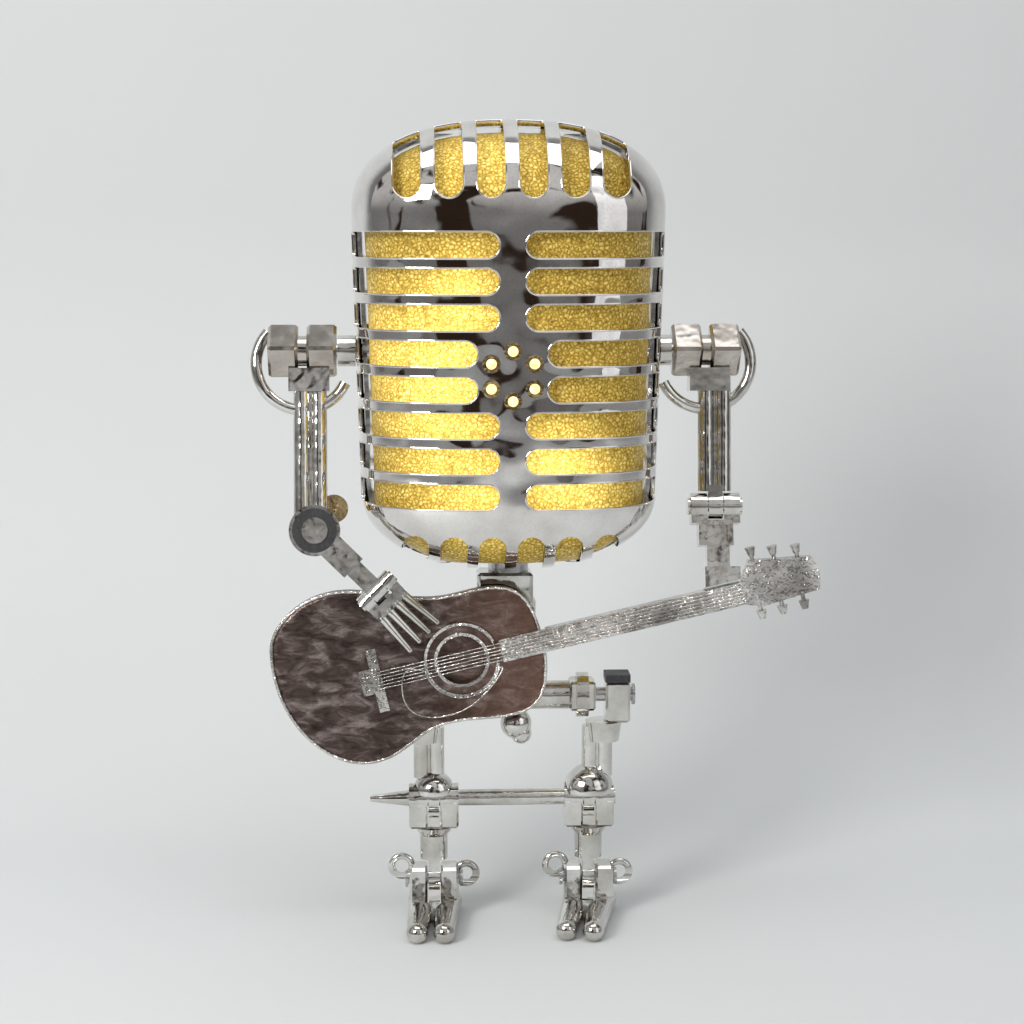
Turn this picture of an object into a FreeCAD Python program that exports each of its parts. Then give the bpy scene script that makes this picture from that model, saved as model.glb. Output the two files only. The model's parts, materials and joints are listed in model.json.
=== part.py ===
import FreeCAD, Part
import math
import os
import re
import sys

from FreeCAD import Placement, Rotation, Vector

# A desk lamp shaped like a robot: a slotted microphone head over thin jointed limbs, holding a guitar.
# The figure faces -Y and stands on Z = 0. Its head's axis is X = 0, Y = 0 before the row shift.
# Left and right are as seen from the front, so the left side has negative X.

os.makedirs("parts", exist_ok=True)
doc = FreeCAD.newDocument("robot_lamp")

# Driving sizes, in millimetres and degrees
SIZES = {
    # The shift that puts the origin under the middle of the whole figure
    "row_shift_x": -7.6,
    "row_shift_y": 0.67,
    # Head: a rounded box whose plan is a superellipse
    "head_top": 225.0,
    "head_wide_z": 200.0,
    "head_narrow_z": 122.0,
    "head_foot": 102.8,
    "head_curl_z": 101.0,
    "head_half_x": 43.0,
    "head_half_x_low": 40.7,
    "head_half_y": 31.0,
    "shell_wall": 1.6,
    "row_top": 191.4,
    "row_pitch": 9.5,
    "row_height": 6.6,
    "slot_start": 3.6,
    "slot_start_ring": 9.4,
    "seam_rim": 2.4,
    "dome_slot_pitch": 11.1,
    "dome_slot_width": 7.2,
    "dome_slot_foot": 203.8,
    "dome_ridge": 7.0,
    "tooth_pitch": 10.4,
    "tooth_gap": 6.4,
    "tooth_arch": 113.3,
    "stud_ring_z": 157.1,
    "stud_ring_radius": 6.6,
    "stud_radius": 2.4,
    "stud_bore": 1.75,
    "frame_gap": 1.7,
    "frame_wall": 1.2,
    "frame_half_y": 5.0,
    "liner_gap": 3.4,
    "liner_wall": 0.6,
    "base_plate_z": 108.8,
    "base_plate_wall": 2.0,
    # Shoulders
    "shoulder_z": 162.0,
    "axle_radius": 2.0,
    "fit_gap": 0.05,
    "cube_side": 11.0,
    "left_arm_x": -56.7,
    "right_arm_x": 54.8,
    "cube_width": 8.2,
    "cube_gap": 2.4,
    "yoke_radius": 12.8,
    "yoke_bar": 1.6,
    # Arms
    "left_lean": 9.5,
    "right_lean": 6.0,
    "right_fore_lean": 15.0,
    "tube_radius": 2.35,
    "left_upper_length": 49.7,
    "right_upper_length": 43.5,
    "left_elbow_x": -53.4,
    "elbow_disc": 7.0,
    "fore_angle": 45.5,
    "fore_length": 23.8,
    "fore_plane": 4.2,
    "wrist_bar_half": 6.2,
    "finger_length": 18.0,
    "right_elbow_x": 57.4,
    "barrel_radius": 3.7,
    "barrel_half": 6.8,
    "right_grip_x": 1.5,
    "right_grip_drop": -21.8,
    # Guitar
    "guitar_back": -6.5,
    "guitar_depth": 5.0,
    "soundboard": 0.5,
    "neck_angle": 13.1,
    "neck_width": 6.4,
    # Torso and hips
    "neck_post_radius": 3.0,
    "neck_block_top": 100.4,
    "torso_foot": 69.0,
    "hip_z": 64.5,
    "hip_axle_radius": 2.0,
    "hip_in": 17.2,
    "hip_block_in": 7.4,
    "hip_block_out": 7.0,
    "hip_block_gap": 2.8,
    # Legs
    "knee_z": 34.8,
    "knee_bar_radius": 2.3,
    "knee_round": 4.2,
    "right_leg_x": 22.9,
    "left_leg_x": -21.2,
    "ankle_z": 11.2,
    "ankle_pin_radius": 1.5,
    "right_foot_turn": 10.0,
    "left_foot_turn": 3.0,
    "toe_radius": 3.8,
    "toe_length": 31.0,
    "toe_tip": 26.0,
}

sheet = doc.addObject("Spreadsheet::Sheet", "Sizes")
for line, (alias, number) in enumerate(SIZES.items(), start=1):
    sheet.set(f"A{line}", alias)
    sheet.set(f"B{line}", str(number))
    sheet.setAlias(f"B{line}", alias)
doc.recompute()

X_AXIS = Vector(1, 0, 0)
Y_AXIS = Vector(0, 1, 0)
Z_AXIS = Vector(0, 0, 1)
ALONG = {"X": (Y_AXIS, 90), "Y": (-X_AXIS, 90), "Z": (Z_AXIS, 0)}
SIDES = {"left": -1, "right": 1}

parts = []


def cell(name):
    """The number that the sheet holds under this name."""
    return float(getattr(sheet, name))


def formula(words):
    """An expression whose names are read from the sheet."""
    return re.sub(r"[a-z]\w*", lambda word: f"Sizes.{word[0]}" if word[0] in SIZES else word[0], str(words))


def bind(thing, path, words):
    thing.setExpression(path, formula(words))


def place(thing, at, axis=None, angle=None):
    """Bind a placement to expressions: a point and, if asked, a positive turn about an axis."""
    if axis:
        thing.Placement = Placement(Vector(), Rotation(axis, 10))
        bind(thing, "Placement.Rotation.Angle", angle)
    for letter, words in zip("xyz", at):
        bind(thing, f"Placement.Base.{letter}", words)


def box(name, low, size, axis=None, angle=None):
    thing = doc.addObject("Part::Box", name)
    for side, words in zip(("Length", "Width", "Height"), size):
        bind(thing, side, words)
    place(thing, low, axis, angle)
    return thing


def rod(name, radius, length, at, along="Z"):
    thing = doc.addObject("Part::Cylinder", name)
    bind(thing, "Radius", radius)
    bind(thing, "Height", length)
    axis, angle = ALONG[along]
    place(thing, at, axis, angle)
    return thing


def cone(name, radius_1, radius_2, length, at, along="Z"):
    thing = doc.addObject("Part::Cone", name)
    bind(thing, "Radius1", radius_1)
    bind(thing, "Radius2", radius_2)
    bind(thing, "Height", length)
    axis, angle = ALONG[along]
    place(thing, at, axis, angle)
    return thing


def ball(name, radius, at):
    thing = doc.addObject("Part::Sphere", name)
    bind(thing, "Radius", radius)
    place(thing, at)
    return thing


def joined(name, *pieces):
    thing = doc.addObject("Part::MultiFuse", name)
    thing.Shapes = list(pieces)
    return thing


def group(name, *pieces):
    thing = doc.addObject("Part::Compound", name)
    thing.Links = list(pieces)
    return thing


def less(name, base, *tools):
    thing = doc.addObject("Part::Cut", name)
    thing.Base = base
    thing.Tool = tools[0] if len(tools) == 1 else joined(f"{name}_tools", *tools)
    return thing


def part(label, thing, at=(0, 0, 0), axis=None, angle=None):
    """Name a finished sub-part and put it at its place in the row's frame."""
    shifted = (f"{at[0]} + row_shift_x", f"{at[1]} + row_shift_y", at[2])
    place(thing, shifted, axis, angle)
    thing.Label = label
    parts.append(thing)
    return thing


def shaped(name, shape):
    """A solid whose shape comes from the functions below."""
    thing = doc.addObject("Part::Feature", name)
    thing.Shape = shape
    return thing


def bevelled(name, base, size):
    """Break the straight edges of a block by a small chamfer."""
    doc.recompute()
    thing = doc.addObject("Part::Chamfer", name)
    thing.Base = base
    edges = range(1, len(base.Shape.Edges) + 1)
    thing.Edges = [(number, size, size) for number in edges]
    return thing


def origin_plane(body, role):
    return next(item for item in body.Origin.OriginFeatures if item.Role == role)


def sketch_on(body, name, role):
    sketch = body.newObject("Sketcher::SketchObject", name)
    sketch.AttachmentSupport = [(origin_plane(body, role), "")]
    sketch.MapMode = "FlatFace"
    return sketch


def padded(name, outline, thickness, role="XZ_Plane"):
    """A body padded from an outline; on the XZ plane it grows towards -Y."""
    body = doc.addObject("PartDesign::Body", name)
    sketch = sketch_on(body, f"{name}_outline", role)
    outline(sketch)
    pad = body.newObject("PartDesign::Pad", f"{name}_pad")
    pad.Profile = sketch
    bind(pad, "Length", thickness)
    return body


def turned(name, profile):
    """A body turned about Z from a half profile of (radius, height) corners."""
    body = doc.addObject("PartDesign::Body", name)
    sketch = sketch_on(body, f"{name}_profile", "XZ_Plane")
    draw_polygon(sketch, profile)
    turn = body.newObject("PartDesign::Revolution", f"{name}_turn")
    turn.Profile = sketch
    turn.ReferenceAxis = (sketch, ["V_Axis"])
    turn.Angle = 360
    return body


def draw_polygon(sketch, corners):
    points = [Vector(across, up, 0) for across, up in corners]
    for first, second in zip(points, points[1:] + points[:1]):
        sketch.addGeometry(Part.LineSegment(first, second), False)


def draw_loop(sketch, corners):
    """A closed smooth curve through the given points."""
    curve = Part.BSplineCurve()
    curve.interpolate(Points=[Vector(across, up, 0) for across, up in corners], PeriodicFlag=True)
    sketch.addGeometry(curve, False)


def draw_circle(sketch, centre, radius):
    sketch.addGeometry(Part.Circle(Vector(centre[0], centre[1], 0), Z_AXIS, radius), False)


# Head shells, frame and liner
PLAN_POWER = 2.8
DOME_POWER = 2.3
FOOT_POWER = 2.0
PLAN_POINTS = 48
DOME_STEPS = (0.0, 0.28, 0.5, 0.68, 0.82, 0.92, 0.975, 0.998)
WALL_STEPS = (0.25, 0.5, 0.75)
CURL_STEPS = (0.0, 0.28, 0.52, 0.72, 0.87, 0.97)


def head_plan(half_x, half_y, height):
    """One level of the head: a closed curve through a superellipse."""
    points = []
    for step in range(PLAN_POINTS):
        turn = 2 * math.pi * step / PLAN_POINTS
        across = math.copysign(abs(math.cos(turn)) ** (2 / PLAN_POWER), math.cos(turn))
        deep = math.copysign(abs(math.sin(turn)) ** (2 / PLAN_POWER), math.sin(turn))
        points.append(Vector(half_x * across, half_y * deep, height))
    curve = Part.BSplineCurve()
    curve.interpolate(Points=points, PeriodicFlag=True)
    return Part.Wire(curve.toShape())


def head_solid(inset):
    """The whole head, drawn in by an inset: a curled foot, tapered walls and a dome."""
    wide, narrow = cell("head_wide_z"), cell("head_narrow_z")
    levels = []
    for step in reversed(CURL_STEPS):
        height = narrow - step * (narrow - cell("head_curl_z") - inset)
        levels.append((height, (1 - step ** FOOT_POWER) ** (1 / FOOT_POWER)))
    for step in WALL_STEPS:
        levels.append((narrow + step * (wide - narrow), 1.0))
    for step in DOME_STEPS:
        height = wide + step * (cell("head_top") - inset - wide)
        levels.append((height, (1 - step ** DOME_POWER) ** (1 / DOME_POWER)))
    wires = []
    for height, shrink in levels:
        rise = min(max((height - narrow) / (wide - narrow), 0.0), 1.0)
        wall_x = cell("head_half_x_low") + rise * (cell("head_half_x") - cell("head_half_x_low"))
        wires.append(head_plan((wall_x - inset) * shrink, (cell("head_half_y") - inset) * shrink, height))
    return Part.makeLoft(wires, True, False)


def slab(low, high):
    return Part.makeBox(high[0] - low[0], high[1] - low[1], high[2] - low[2], Vector(*low))


def cylinder_y(radius, centre_x, centre_z, from_y, to_y):
    return Part.makeCylinder(radius, to_y - from_y, Vector(centre_x, from_y, centre_z), Y_AXIS)


REACH = 60.0
MOUTH_DEPTH = 8.0
SHELL_MOUTH = (20.5, 15.0)
INNER_MOUTH = (15.0, 12.0)


def row_slots():
    """The eight rows of slots to each side of the front's spine, round-ended at the spine."""
    tools = []
    radius = cell("row_height") / 2
    for row in range(8):
        level = cell("row_top") - row * cell("row_pitch")
        start = cell("slot_start_ring") if row in (3, 4) else cell("slot_start")
        for side in SIDES.values():
            centre = side * (start + radius)
            far = side * REACH
            low = (min(centre, far), -REACH, level - radius)
            high = (max(centre, far), -cell("seam_rim"), level + radius)
            tools.append(slab(low, high))
            tools.append(cylinder_y(radius, centre, level, -REACH, -cell("seam_rim")))
    return tools


def dome_slots():
    """Six slots that run up the front of the dome and end short of its ridge."""
    tools = []
    radius = cell("dome_slot_width") / 2
    for place_number in range(6):
        centre = (place_number - 2.5) * cell("dome_slot_pitch")
        foot = cell("dome_slot_foot") + radius
        tools.append(cylinder_y(radius, centre, foot, -REACH, -cell("dome_ridge")))
        low = (centre - radius, -REACH, foot)
        tools.append(slab(low, (centre + radius, -cell("dome_ridge"), cell("head_top") + radius)))
    return tools


def tooth_slots():
    """Six arches open at the lower edge, which leave a row of teeth."""
    tools = []
    radius = cell("tooth_gap") / 2
    for place_number in range(6):
        centre = (place_number - 2.5) * cell("tooth_pitch")
        top = cell("tooth_arch") - radius
        tools.append(cylinder_y(radius, centre, top, -REACH, -cell("dome_ridge")))
        tools.append(slab((centre - radius, -REACH, 0), (centre + radius, -cell("dome_ridge"), top)))
    return tools


def stud_places():
    for number in range(6):
        turn = math.radians(90 + 60 * number)
        across = cell("stud_ring_radius") * math.cos(turn)
        yield across, cell("stud_ring_z") + cell("stud_ring_radius") * math.sin(turn)


def head_slice(outer_inset, inner_inset, low, high, mouth):
    """The wall between two insets, kept inside a box and open at the foot."""
    wall = head_solid(outer_inset).cut(head_solid(inner_inset))
    opening = Part.Face(head_plan(*mouth, cell("head_curl_z"))).extrude(Vector(0, 0, MOUTH_DEPTH))
    return wall.common(slab(low, high)).cut(opening)


def head_shells():
    wall = cell("shell_wall")
    foot, top = cell("head_foot"), cell("head_top") + 1
    front = head_slice(0, wall, (-REACH, -REACH, foot), (REACH, 0, top), SHELL_MOUTH)
    tools = row_slots() + dome_slots() + tooth_slots()
    front = front.cut(tools[0].multiFuse(tools[1:]))
    rear = front.mirror(Vector(), Y_AXIS)
    bores = [cylinder_y(cell("stud_bore"), across, up, -REACH, 0) for across, up in stud_places()]
    front = front.cut(bores)
    rear = rear.cut(cylinder_y(INLET_RADIUS, 0, INLET_Z, 0, REACH))
    axle = Part.makeCylinder(cell("axle_radius"), 2 * REACH, Vector(-REACH, 0, cell("shoulder_z")), X_AXIS)
    return front.cut(axle), rear.cut(axle)


PLATE_SCREW_X = 18.0
PLATE_SCREW_RADIUS = 1.0
INLET_RADIUS = 4.0
INLET_Z = 117.4
INLET_LENGTH = 12.0
FRAME_FOOT = 104.0
FRAME_TOP = 221.0


def screw_holes():
    """Holes for the two screws that hold the base plate to the frame's foot."""
    return [Part.makeCylinder(PLATE_SCREW_RADIUS, 20, Vector(side * PLATE_SCREW_X, 0, 100)) for side in (-1, 1)]


def build_head():
    front, rear = head_shells()
    part("head_front_shell", shaped("front_shell", front))
    part("head_rear_shell", shaped("rear_shell", rear))
    gap, wall = cell("frame_gap"), cell("frame_wall")
    reach_y = cell("frame_half_y")
    low, high = (-REACH, -reach_y, FRAME_FOOT), (REACH, reach_y, FRAME_TOP)
    ring = head_slice(gap, gap + wall, low, high, INNER_MOUTH)
    axle = Part.makeCylinder(cell("axle_radius"), 2 * REACH, Vector(-REACH, 0, cell("shoulder_z")), X_AXIS)
    part("head_side_frame", shaped("side_frame", ring.cut([axle] + screw_holes())))
    gap, wall = cell("liner_gap"), cell("liner_wall")
    skin = head_slice(gap, gap + wall, (-REACH, -REACH, FRAME_FOOT), (REACH, REACH, REACH * 4), INNER_MOUTH)
    holes = [cylinder_y(cell("stud_bore"), across, up, -REACH, 0) for across, up in stud_places()]
    holes.append(cylinder_y(INLET_RADIUS + 1, 0, INLET_Z, 0, REACH))
    boss = Part.makeCylinder(BOSS_RADIUS, 2 * REACH, Vector(-REACH, 0, cell("shoulder_z")), X_AXIS)
    part("head_liner", shaped("liner", skin.cut(holes + [boss] + screw_holes())))


BOSS_RADIUS = 4.6


def build_studs():
    """Bezels and lit lenses in the ring on the front's spine."""
    bezels, lenses = [], []
    front = -cell("head_half_y")
    for number, (across, up) in enumerate(stud_places()):
        flange = rod(f"stud_flange_{number}", "stud_radius", 0.7, (across, front - 0.72, up), "Y")
        sleeve = rod(f"stud_sleeve_{number}", "stud_bore", 2.6, (across, front - 0.1, up), "Y")
        bore = rod(f"stud_hole_{number}", "stud_bore - 0.35", 4, (across, front - 1, up), "Y")
        bezels.append(less(f"stud_bezel_{number}", joined(f"stud_body_{number}", flange, sleeve), bore))
        pin = rod(f"stud_pin_{number}", "stud_bore - 0.37", 2.8, (across, front - 0.3, up), "Y")
        dome = ball(f"stud_dome_{number}", "stud_bore - 0.37", (across, front - 0.3, up))
        lenses.append(joined(f"stud_lens_{number}", pin, dome))
    part("stud_bezels", group("bezels", *bezels))
    part("stud_lenses", group("lenses", *lenses))


PLATE_HALF_X = 22.0
PLATE_HALF_Y = 15.5
HOLDER_RADIUS = 8.0
HOLDER_Z = 114.5
BULB_Z = 132.5


def build_lamp_inside():
    def plate_outline(sketch):
        draw_loop(sketch, [(PLATE_HALF_X * math.cos(turn), PLATE_HALF_Y * math.sin(turn))
                           for turn in (math.radians(30 * step) for step in range(12))])
        draw_circle(sketch, (0, 0), cell("neck_post_radius") + cell("fit_gap"))
        for side in (-1, 1):
            draw_circle(sketch, (side * PLATE_SCREW_X, 0), PLATE_SCREW_RADIUS)

    plate = padded("base_plate", plate_outline, "base_plate_wall", "XY_Plane")
    part("head_base_plate", plate, (0, 0, "base_plate_z"))
    strut = "base_plate_z + base_plate_wall"
    legs = [box(f"holder_leg_{number}", (side * 7 - 1.2, -3, strut), (2.4, 6, f"{HOLDER_Z} - {strut}"))
            for number, side in enumerate(SIDES.values())]
    cup = cone("holder_cup", HOLDER_RADIUS, HOLDER_RADIUS + 1, BULB_Z - HOLDER_Z, (0, 0, HOLDER_Z))
    socket = rod("holder_socket", 6.6, 14, (0, 0, BULB_Z - 13))
    part("lamp_holder", less("holder", joined("holder_body", cup, *legs), socket))
    bulb = [(0, BULB_Z - 12.8), (6.5, BULB_Z - 12.8), (6.5, BULB_Z + 1), (9.5, BULB_Z + 10), (13.5, BULB_Z + 18),
            (15, BULB_Z + 26), (13.5, BULB_Z + 34), (9.5, BULB_Z + 39.5), (0, BULB_Z + 42)]
    part("led_bulb", turned("bulb", bulb))

    def board_outline(sketch):
        draw_polygon(sketch, [(-13, 112.5), (13, 112.5), (13, 114.1), (-13, 114.1)])

    board = padded("board", board_outline, 7.0)
    chip = box("board_chip", (-4, 8, 114.1), (6, 4, 1.4))
    coil = rod("board_coil", 2.2, 2.2, (7, 10, 114.1))
    feet = [rod(f"board_foot_{number}", 1.2, f"112.5 - {strut}", (across, 10, strut))
            for number, across in enumerate((-11, 11))]
    place(board, (0, 13.5, 0))
    part("dimmer_board", joined("board_set", board, chip, coil, *feet))
    jack = rod("jack_body", INLET_RADIUS - 0.02, INLET_LENGTH, (0, 18.6, INLET_Z), "Y")
    jack_bore = rod("jack_bore", 2.75, INLET_LENGTH, (0, 20.6, INLET_Z), "Y")
    contact = rod("jack_contact", 0.9, INLET_LENGTH - 3, (0, 19.6, INLET_Z), "Y")
    part("power_inlet", joined("inlet", less("jack_shell", jack, jack_bore), contact))


CAP_SINK = 1.2
CAP_RADIUS = 3.0
NUT_FACE = 38.9
BOSS_FACE = 42.1


def build_shoulders():
    """Axles out of the head's sides, each with a boss and an end cap, and the arm's blocks on them."""
    caps = []
    for side, sign in SIDES.items():
        arm = f"{side}_arm_x"
        outer_face = f"({arm} + {sign} * (cube_width + cube_gap / 2))"
        start = NUT_FACE - 1.3
        length = f"abs({outer_face}) - {CAP_SINK} - {start}"
        low = f"{outer_face} + {CAP_SINK}" if sign < 0 else start
        bar = rod(f"{side}_axle_bar", "axle_radius", length, (low, 0, 0), "X")
        boss_length = f"abs({arm}) - cube_width - cube_gap / 2 - 0.3 - {BOSS_FACE}"
        boss_low = f"{arm} + cube_width + cube_gap / 2 + 0.3" if sign < 0 else BOSS_FACE
        boss = rod(f"{side}_axle_boss", BOSS_RADIUS - 0.3, boss_length, (boss_low, 0, 0), "X")
        nut_low = -NUT_FACE if sign < 0 else NUT_FACE - 1.3
        nut = rod(f"{side}_axle_nut", BOSS_RADIUS - 0.6, 1.3, (nut_low, 0, 0), "X")
        part(f"{side}_shoulder_axle", joined(f"{side}_axle", bar, boss, nut), (0, 0, "shoulder_z"))
        cap_low = f"{outer_face} + 0.2" if sign < 0 else f"{outer_face} - {CAP_SINK}"
        caps.append(rod(f"{side}_cap_disc", CAP_RADIUS, CAP_SINK - 0.2, (cap_low, 0, "shoulder_z"), "X"))
    part("shoulder_caps", group("shoulder_cap_pair", *caps))
    for side, sign in SIDES.items():
        blocks = []
        for number, offset in enumerate((-1, 1)):
            low = f"{offset} * (cube_gap / 2 + cube_width / 2) - cube_width / 2"
            cube = box(f"{side}_cube_{number}", (0, 0, 0), ("cube_width", "cube_side", "cube_side"))
            cut = bevelled(f"{side}_cube_cut_{number}", cube, 0.8)
            place(cut, (low, 0, "-cube_side * 0.7071"), X_AXIS, 45)
            blocks.append(cut)
        core = rod(f"{side}_core", 4.2, "cube_gap + 2", ("-cube_gap / 2 - 1", 0, 0), "X")
        bore = rod(f"{side}_cube_bore", "axle_radius + fit_gap", 40, (-20, 0, 0), "X")
        sink_low = "-cube_width - cube_gap / 2" if sign < 0 else "cube_width + cube_gap / 2 - 1.5"
        sink = rod(f"{side}_cube_sink", CAP_RADIUS + 0.15, 1.5, (sink_low, 0, 0), "X")
        body = less(f"{side}_blocks", joined(f"{side}_blocks_body", *blocks, core), bore, sink)
        part(f"{side}_shoulder_blocks", body, (f"{side}_arm_x", 0, "shoulder_z"), -X_AXIS, f"{side}_lean")


def twin_tubes(side, top, foot, spread):
    """Two parallel tubes with a groove between them, and a thin web that ties them."""
    tubes = [rod(f"{side}_tube_{number}", "tube_radius", f"{top} - ({foot})", (offset * spread, 0, foot))
             for number, offset in enumerate((-1, 1))]
    web = box(f"{side}_web", (-spread, -1.1, foot), (2 * spread, 2.2, f"{top} - ({foot})"))
    return joined(f"{side}_twin", *tubes, web)


YOKE_DROP = -3.5
YOKE_SWEEP = 197


def yoke(side, tubes):
    """A round bar bent round the blocks, from the outer block's face to the arm and up the inner side."""
    thing = doc.addObject("Part::Torus", f"{side}_yoke_ring")
    bind(thing, "Radius1", "yoke_radius")
    bind(thing, "Radius2", "yoke_bar")
    thing.Angle3 = YOKE_SWEEP
    start = 138 if side == "left" else 205
    thing.Placement = Placement(Vector(0, 0, YOKE_DROP), Rotation(X_AXIS, 90) * Rotation(Z_AXIS, start))
    groove_x = f"{side}_elbow_x - {side}_arm_x + {TUBE_SHIFT[side]} - {TUBE_SPREAD}"
    groove = box(f"{side}_yoke_groove", (groove_x, "-tube_radius", -30), (2 * TUBE_SPREAD, "2 * tube_radius", 20))
    bars = less(f"{side}_yoke_bars", thing, tubes, groove, block_space(f"{side}_yoke_space"))
    part(f"{side}_shoulder_yoke", bars, (f"{side}_arm_x", 0, "shoulder_z"), -X_AXIS, f"{side}_lean")


def block_space(name):
    """The room that both shoulder blocks take, as one square bar turned by 45 degrees."""
    width = "cube_width * 2 + cube_gap"
    space = box(name, (0, 0, 0), (width, "cube_side", "cube_side"))
    place(space, ("-cube_width - cube_gap / 2", 0, "-cube_side * 0.7071"), X_AXIS, 45)
    return space


ELBOW_PIN = "axle_radius - 0.4"
ELBOW_LUG = 5.2
TUBE_SPREAD = 2.3
TUBE_SHIFT = {"left": -1.3, "right": 0.0}


def build_left_upper_arm():
    offset = "left_elbow_x - left_arm_x"
    foot = "-left_upper_length + 3.5"
    tubes = twin_tubes("left", -5.0, foot, TUBE_SPREAD)
    place(tubes, (f"{offset} + {TUBE_SHIFT['left']}", 0, 0))
    saddle = box("left_saddle", (-3.8, -3.4, -11.4), (11.2, 6.8, 6.4))
    lug = rod("left_elbow_lug", ELBOW_LUG, 4.4, (offset, -2.2, "-left_upper_length"), "Y")
    bore = rod("left_elbow_bore", ELBOW_PIN, 20, (offset, -10, "-left_upper_length"), "Y")
    body = joined("left_upper_body", tubes, saddle, lug)
    arm = less("left_upper", body, bore, block_space("left_arm_space"))
    part("left_upper_arm", arm, ("left_arm_x", 0, "shoulder_z"), -X_AXIS, "left_lean")
    yoke("left", body)
    elbow = left_elbow_at()
    shank = rod("left_screw_shank", ELBOW_PIN, 9.6, (0, -6.2, 0), "Y")
    head = rod("left_screw_head", 3.5, 1.0, (0, -7.1, 0), "Y")
    slot = box("left_screw_slot", (-2.6, -8, -0.4), (5.2, 1.4, 0.8), Y_AXIS, 35)
    screw = less("left_screw", joined("left_screw_body", shank, head), slot)
    part("left_elbow_screw", screw, elbow, -X_AXIS, "left_lean")
    stem = rod("left_knob_stem", 1.4, 2.4, (3.2, 1.8, 5.6), "Y")
    disc = rod("left_knob_disc", 3.9, 1.8, (5.0, 2.6, 6.2), "Y")
    tube = rod("left_knob_clear", "tube_radius", 30, (1.0, 0, -4))
    part("left_elbow_knob", less("left_knob", joined("left_knob_body", stem, disc), tube), elbow,
         -X_AXIS, "left_lean")


def left_elbow_at():
    return ("left_elbow_x", "-left_upper_length * sin(left_lean * 1deg)",
            "shoulder_z - left_upper_length * cos(left_lean * 1deg)")


def build_left_forearm():
    def hung(label, thing, down=0):
        """Turn a piece in the forearm's plane about the elbow, then lean it with the arm."""
        along = (f"{down} * sin(fore_angle * 1deg)", "-fore_plane", f"-{down} * cos(fore_angle * 1deg)")
        place(thing, along, -Y_AXIS, "fore_angle")
        part(label, group(f"{label}_place", thing), left_elbow_at(), -X_AXIS, "left_lean")

    hub = rod("left_hub", "elbow_disc", 4.1, (0, -2.4, 0), "Y")
    beam = box("left_beam", (-3.6, -1.7, -14.8), (7.2, 3.3, 12))
    recess = rod("left_hub_recess", "elbow_disc - 0.9", 1, (0, -2.8, 0), "Y")
    bore = rod("left_hub_bore", f"{ELBOW_PIN} + fit_gap", 20, (0, -10, 0), "Y")
    panel = box("left_beam_panel", (-2.3, -2.2, -13.6), (4.6, 1.1, 6.0))
    hung("left_forearm", less("left_fore", joined("left_fore_body", hub, beam), recess, bore, panel))
    washer = rod("left_washer", "elbow_disc - 0.9", 0.6, (0, -2.4, 0), "Y")
    washer_bore = rod("left_washer_bore", 3.6, 4, (0, -4, 0), "Y")
    hung("left_elbow_ring", less("left_washer_ring", washer, washer_bore))
    stage = box("left_stage", (-2.5, -1.3, -22.8), (5.0, 2.5, 8.0))
    eye = rod("left_wrist_eye", 2.5, 4.4, (-2.2, 0, "-fore_length"), "X")
    eye_bore = rod("left_wrist_bore", 1.7, 20, (-10, 0, "-fore_length"), "X")
    hung("left_forearm_slide", less("left_slide", joined("left_slide_body", stage, eye), eye_bore))
    bar = rod("left_bar", 1.7, "2 * wrist_bar_half", ("-wrist_bar_half", 0, 0), "X")
    hung("left_wrist_bar", group("left_bar_hold", bar), "fore_length")
    eyes = [rod(f"left_hand_eye_{number}", 2.6, 3.2, (low, 0, 0), "X") for number, low in enumerate((-5.7, 2.5))]
    palm = box("left_palm", (-5.5, -1.1, -6.4), (11.0, 2.2, 3.3))
    cheeks = [box(f"left_hand_cheek_{number}", (low, -1.1, -4.5), (3.0, 2.2, 4.5))
              for number, low in enumerate((-5.6, 2.6))]
    fingers = []
    for number, (across, splay) in enumerate(((-4.3, 5.0), (-1.5, 1.5), (1.5, -1.5), (4.3, -5.0))):
        finger = cone(f"left_finger_{number}", 0.75, 1.25, "finger_length - 6", (0, 0, "6 - finger_length"))
        tip = ball(f"left_finger_tip_{number}", 0.8, (0, 0, "6 - finger_length"))
        whole = joined(f"left_finger_whole_{number}", finger, tip)
        place(whole, (across, 0, -5.6), Y_AXIS * math.copysign(1, splay), abs(splay))
        fingers.append(whole)
    bore = rod("left_hand_bore", "1.7 + fit_gap", 20, (-10, 0, 0), "X")
    hand = less("left_hand_cut", joined("left_hand_body", palm, *eyes, *cheeks, *fingers), bore)
    hung("left_hand", hand, "fore_length")


RIGHT_LUG_HALF = 2.0


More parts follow.
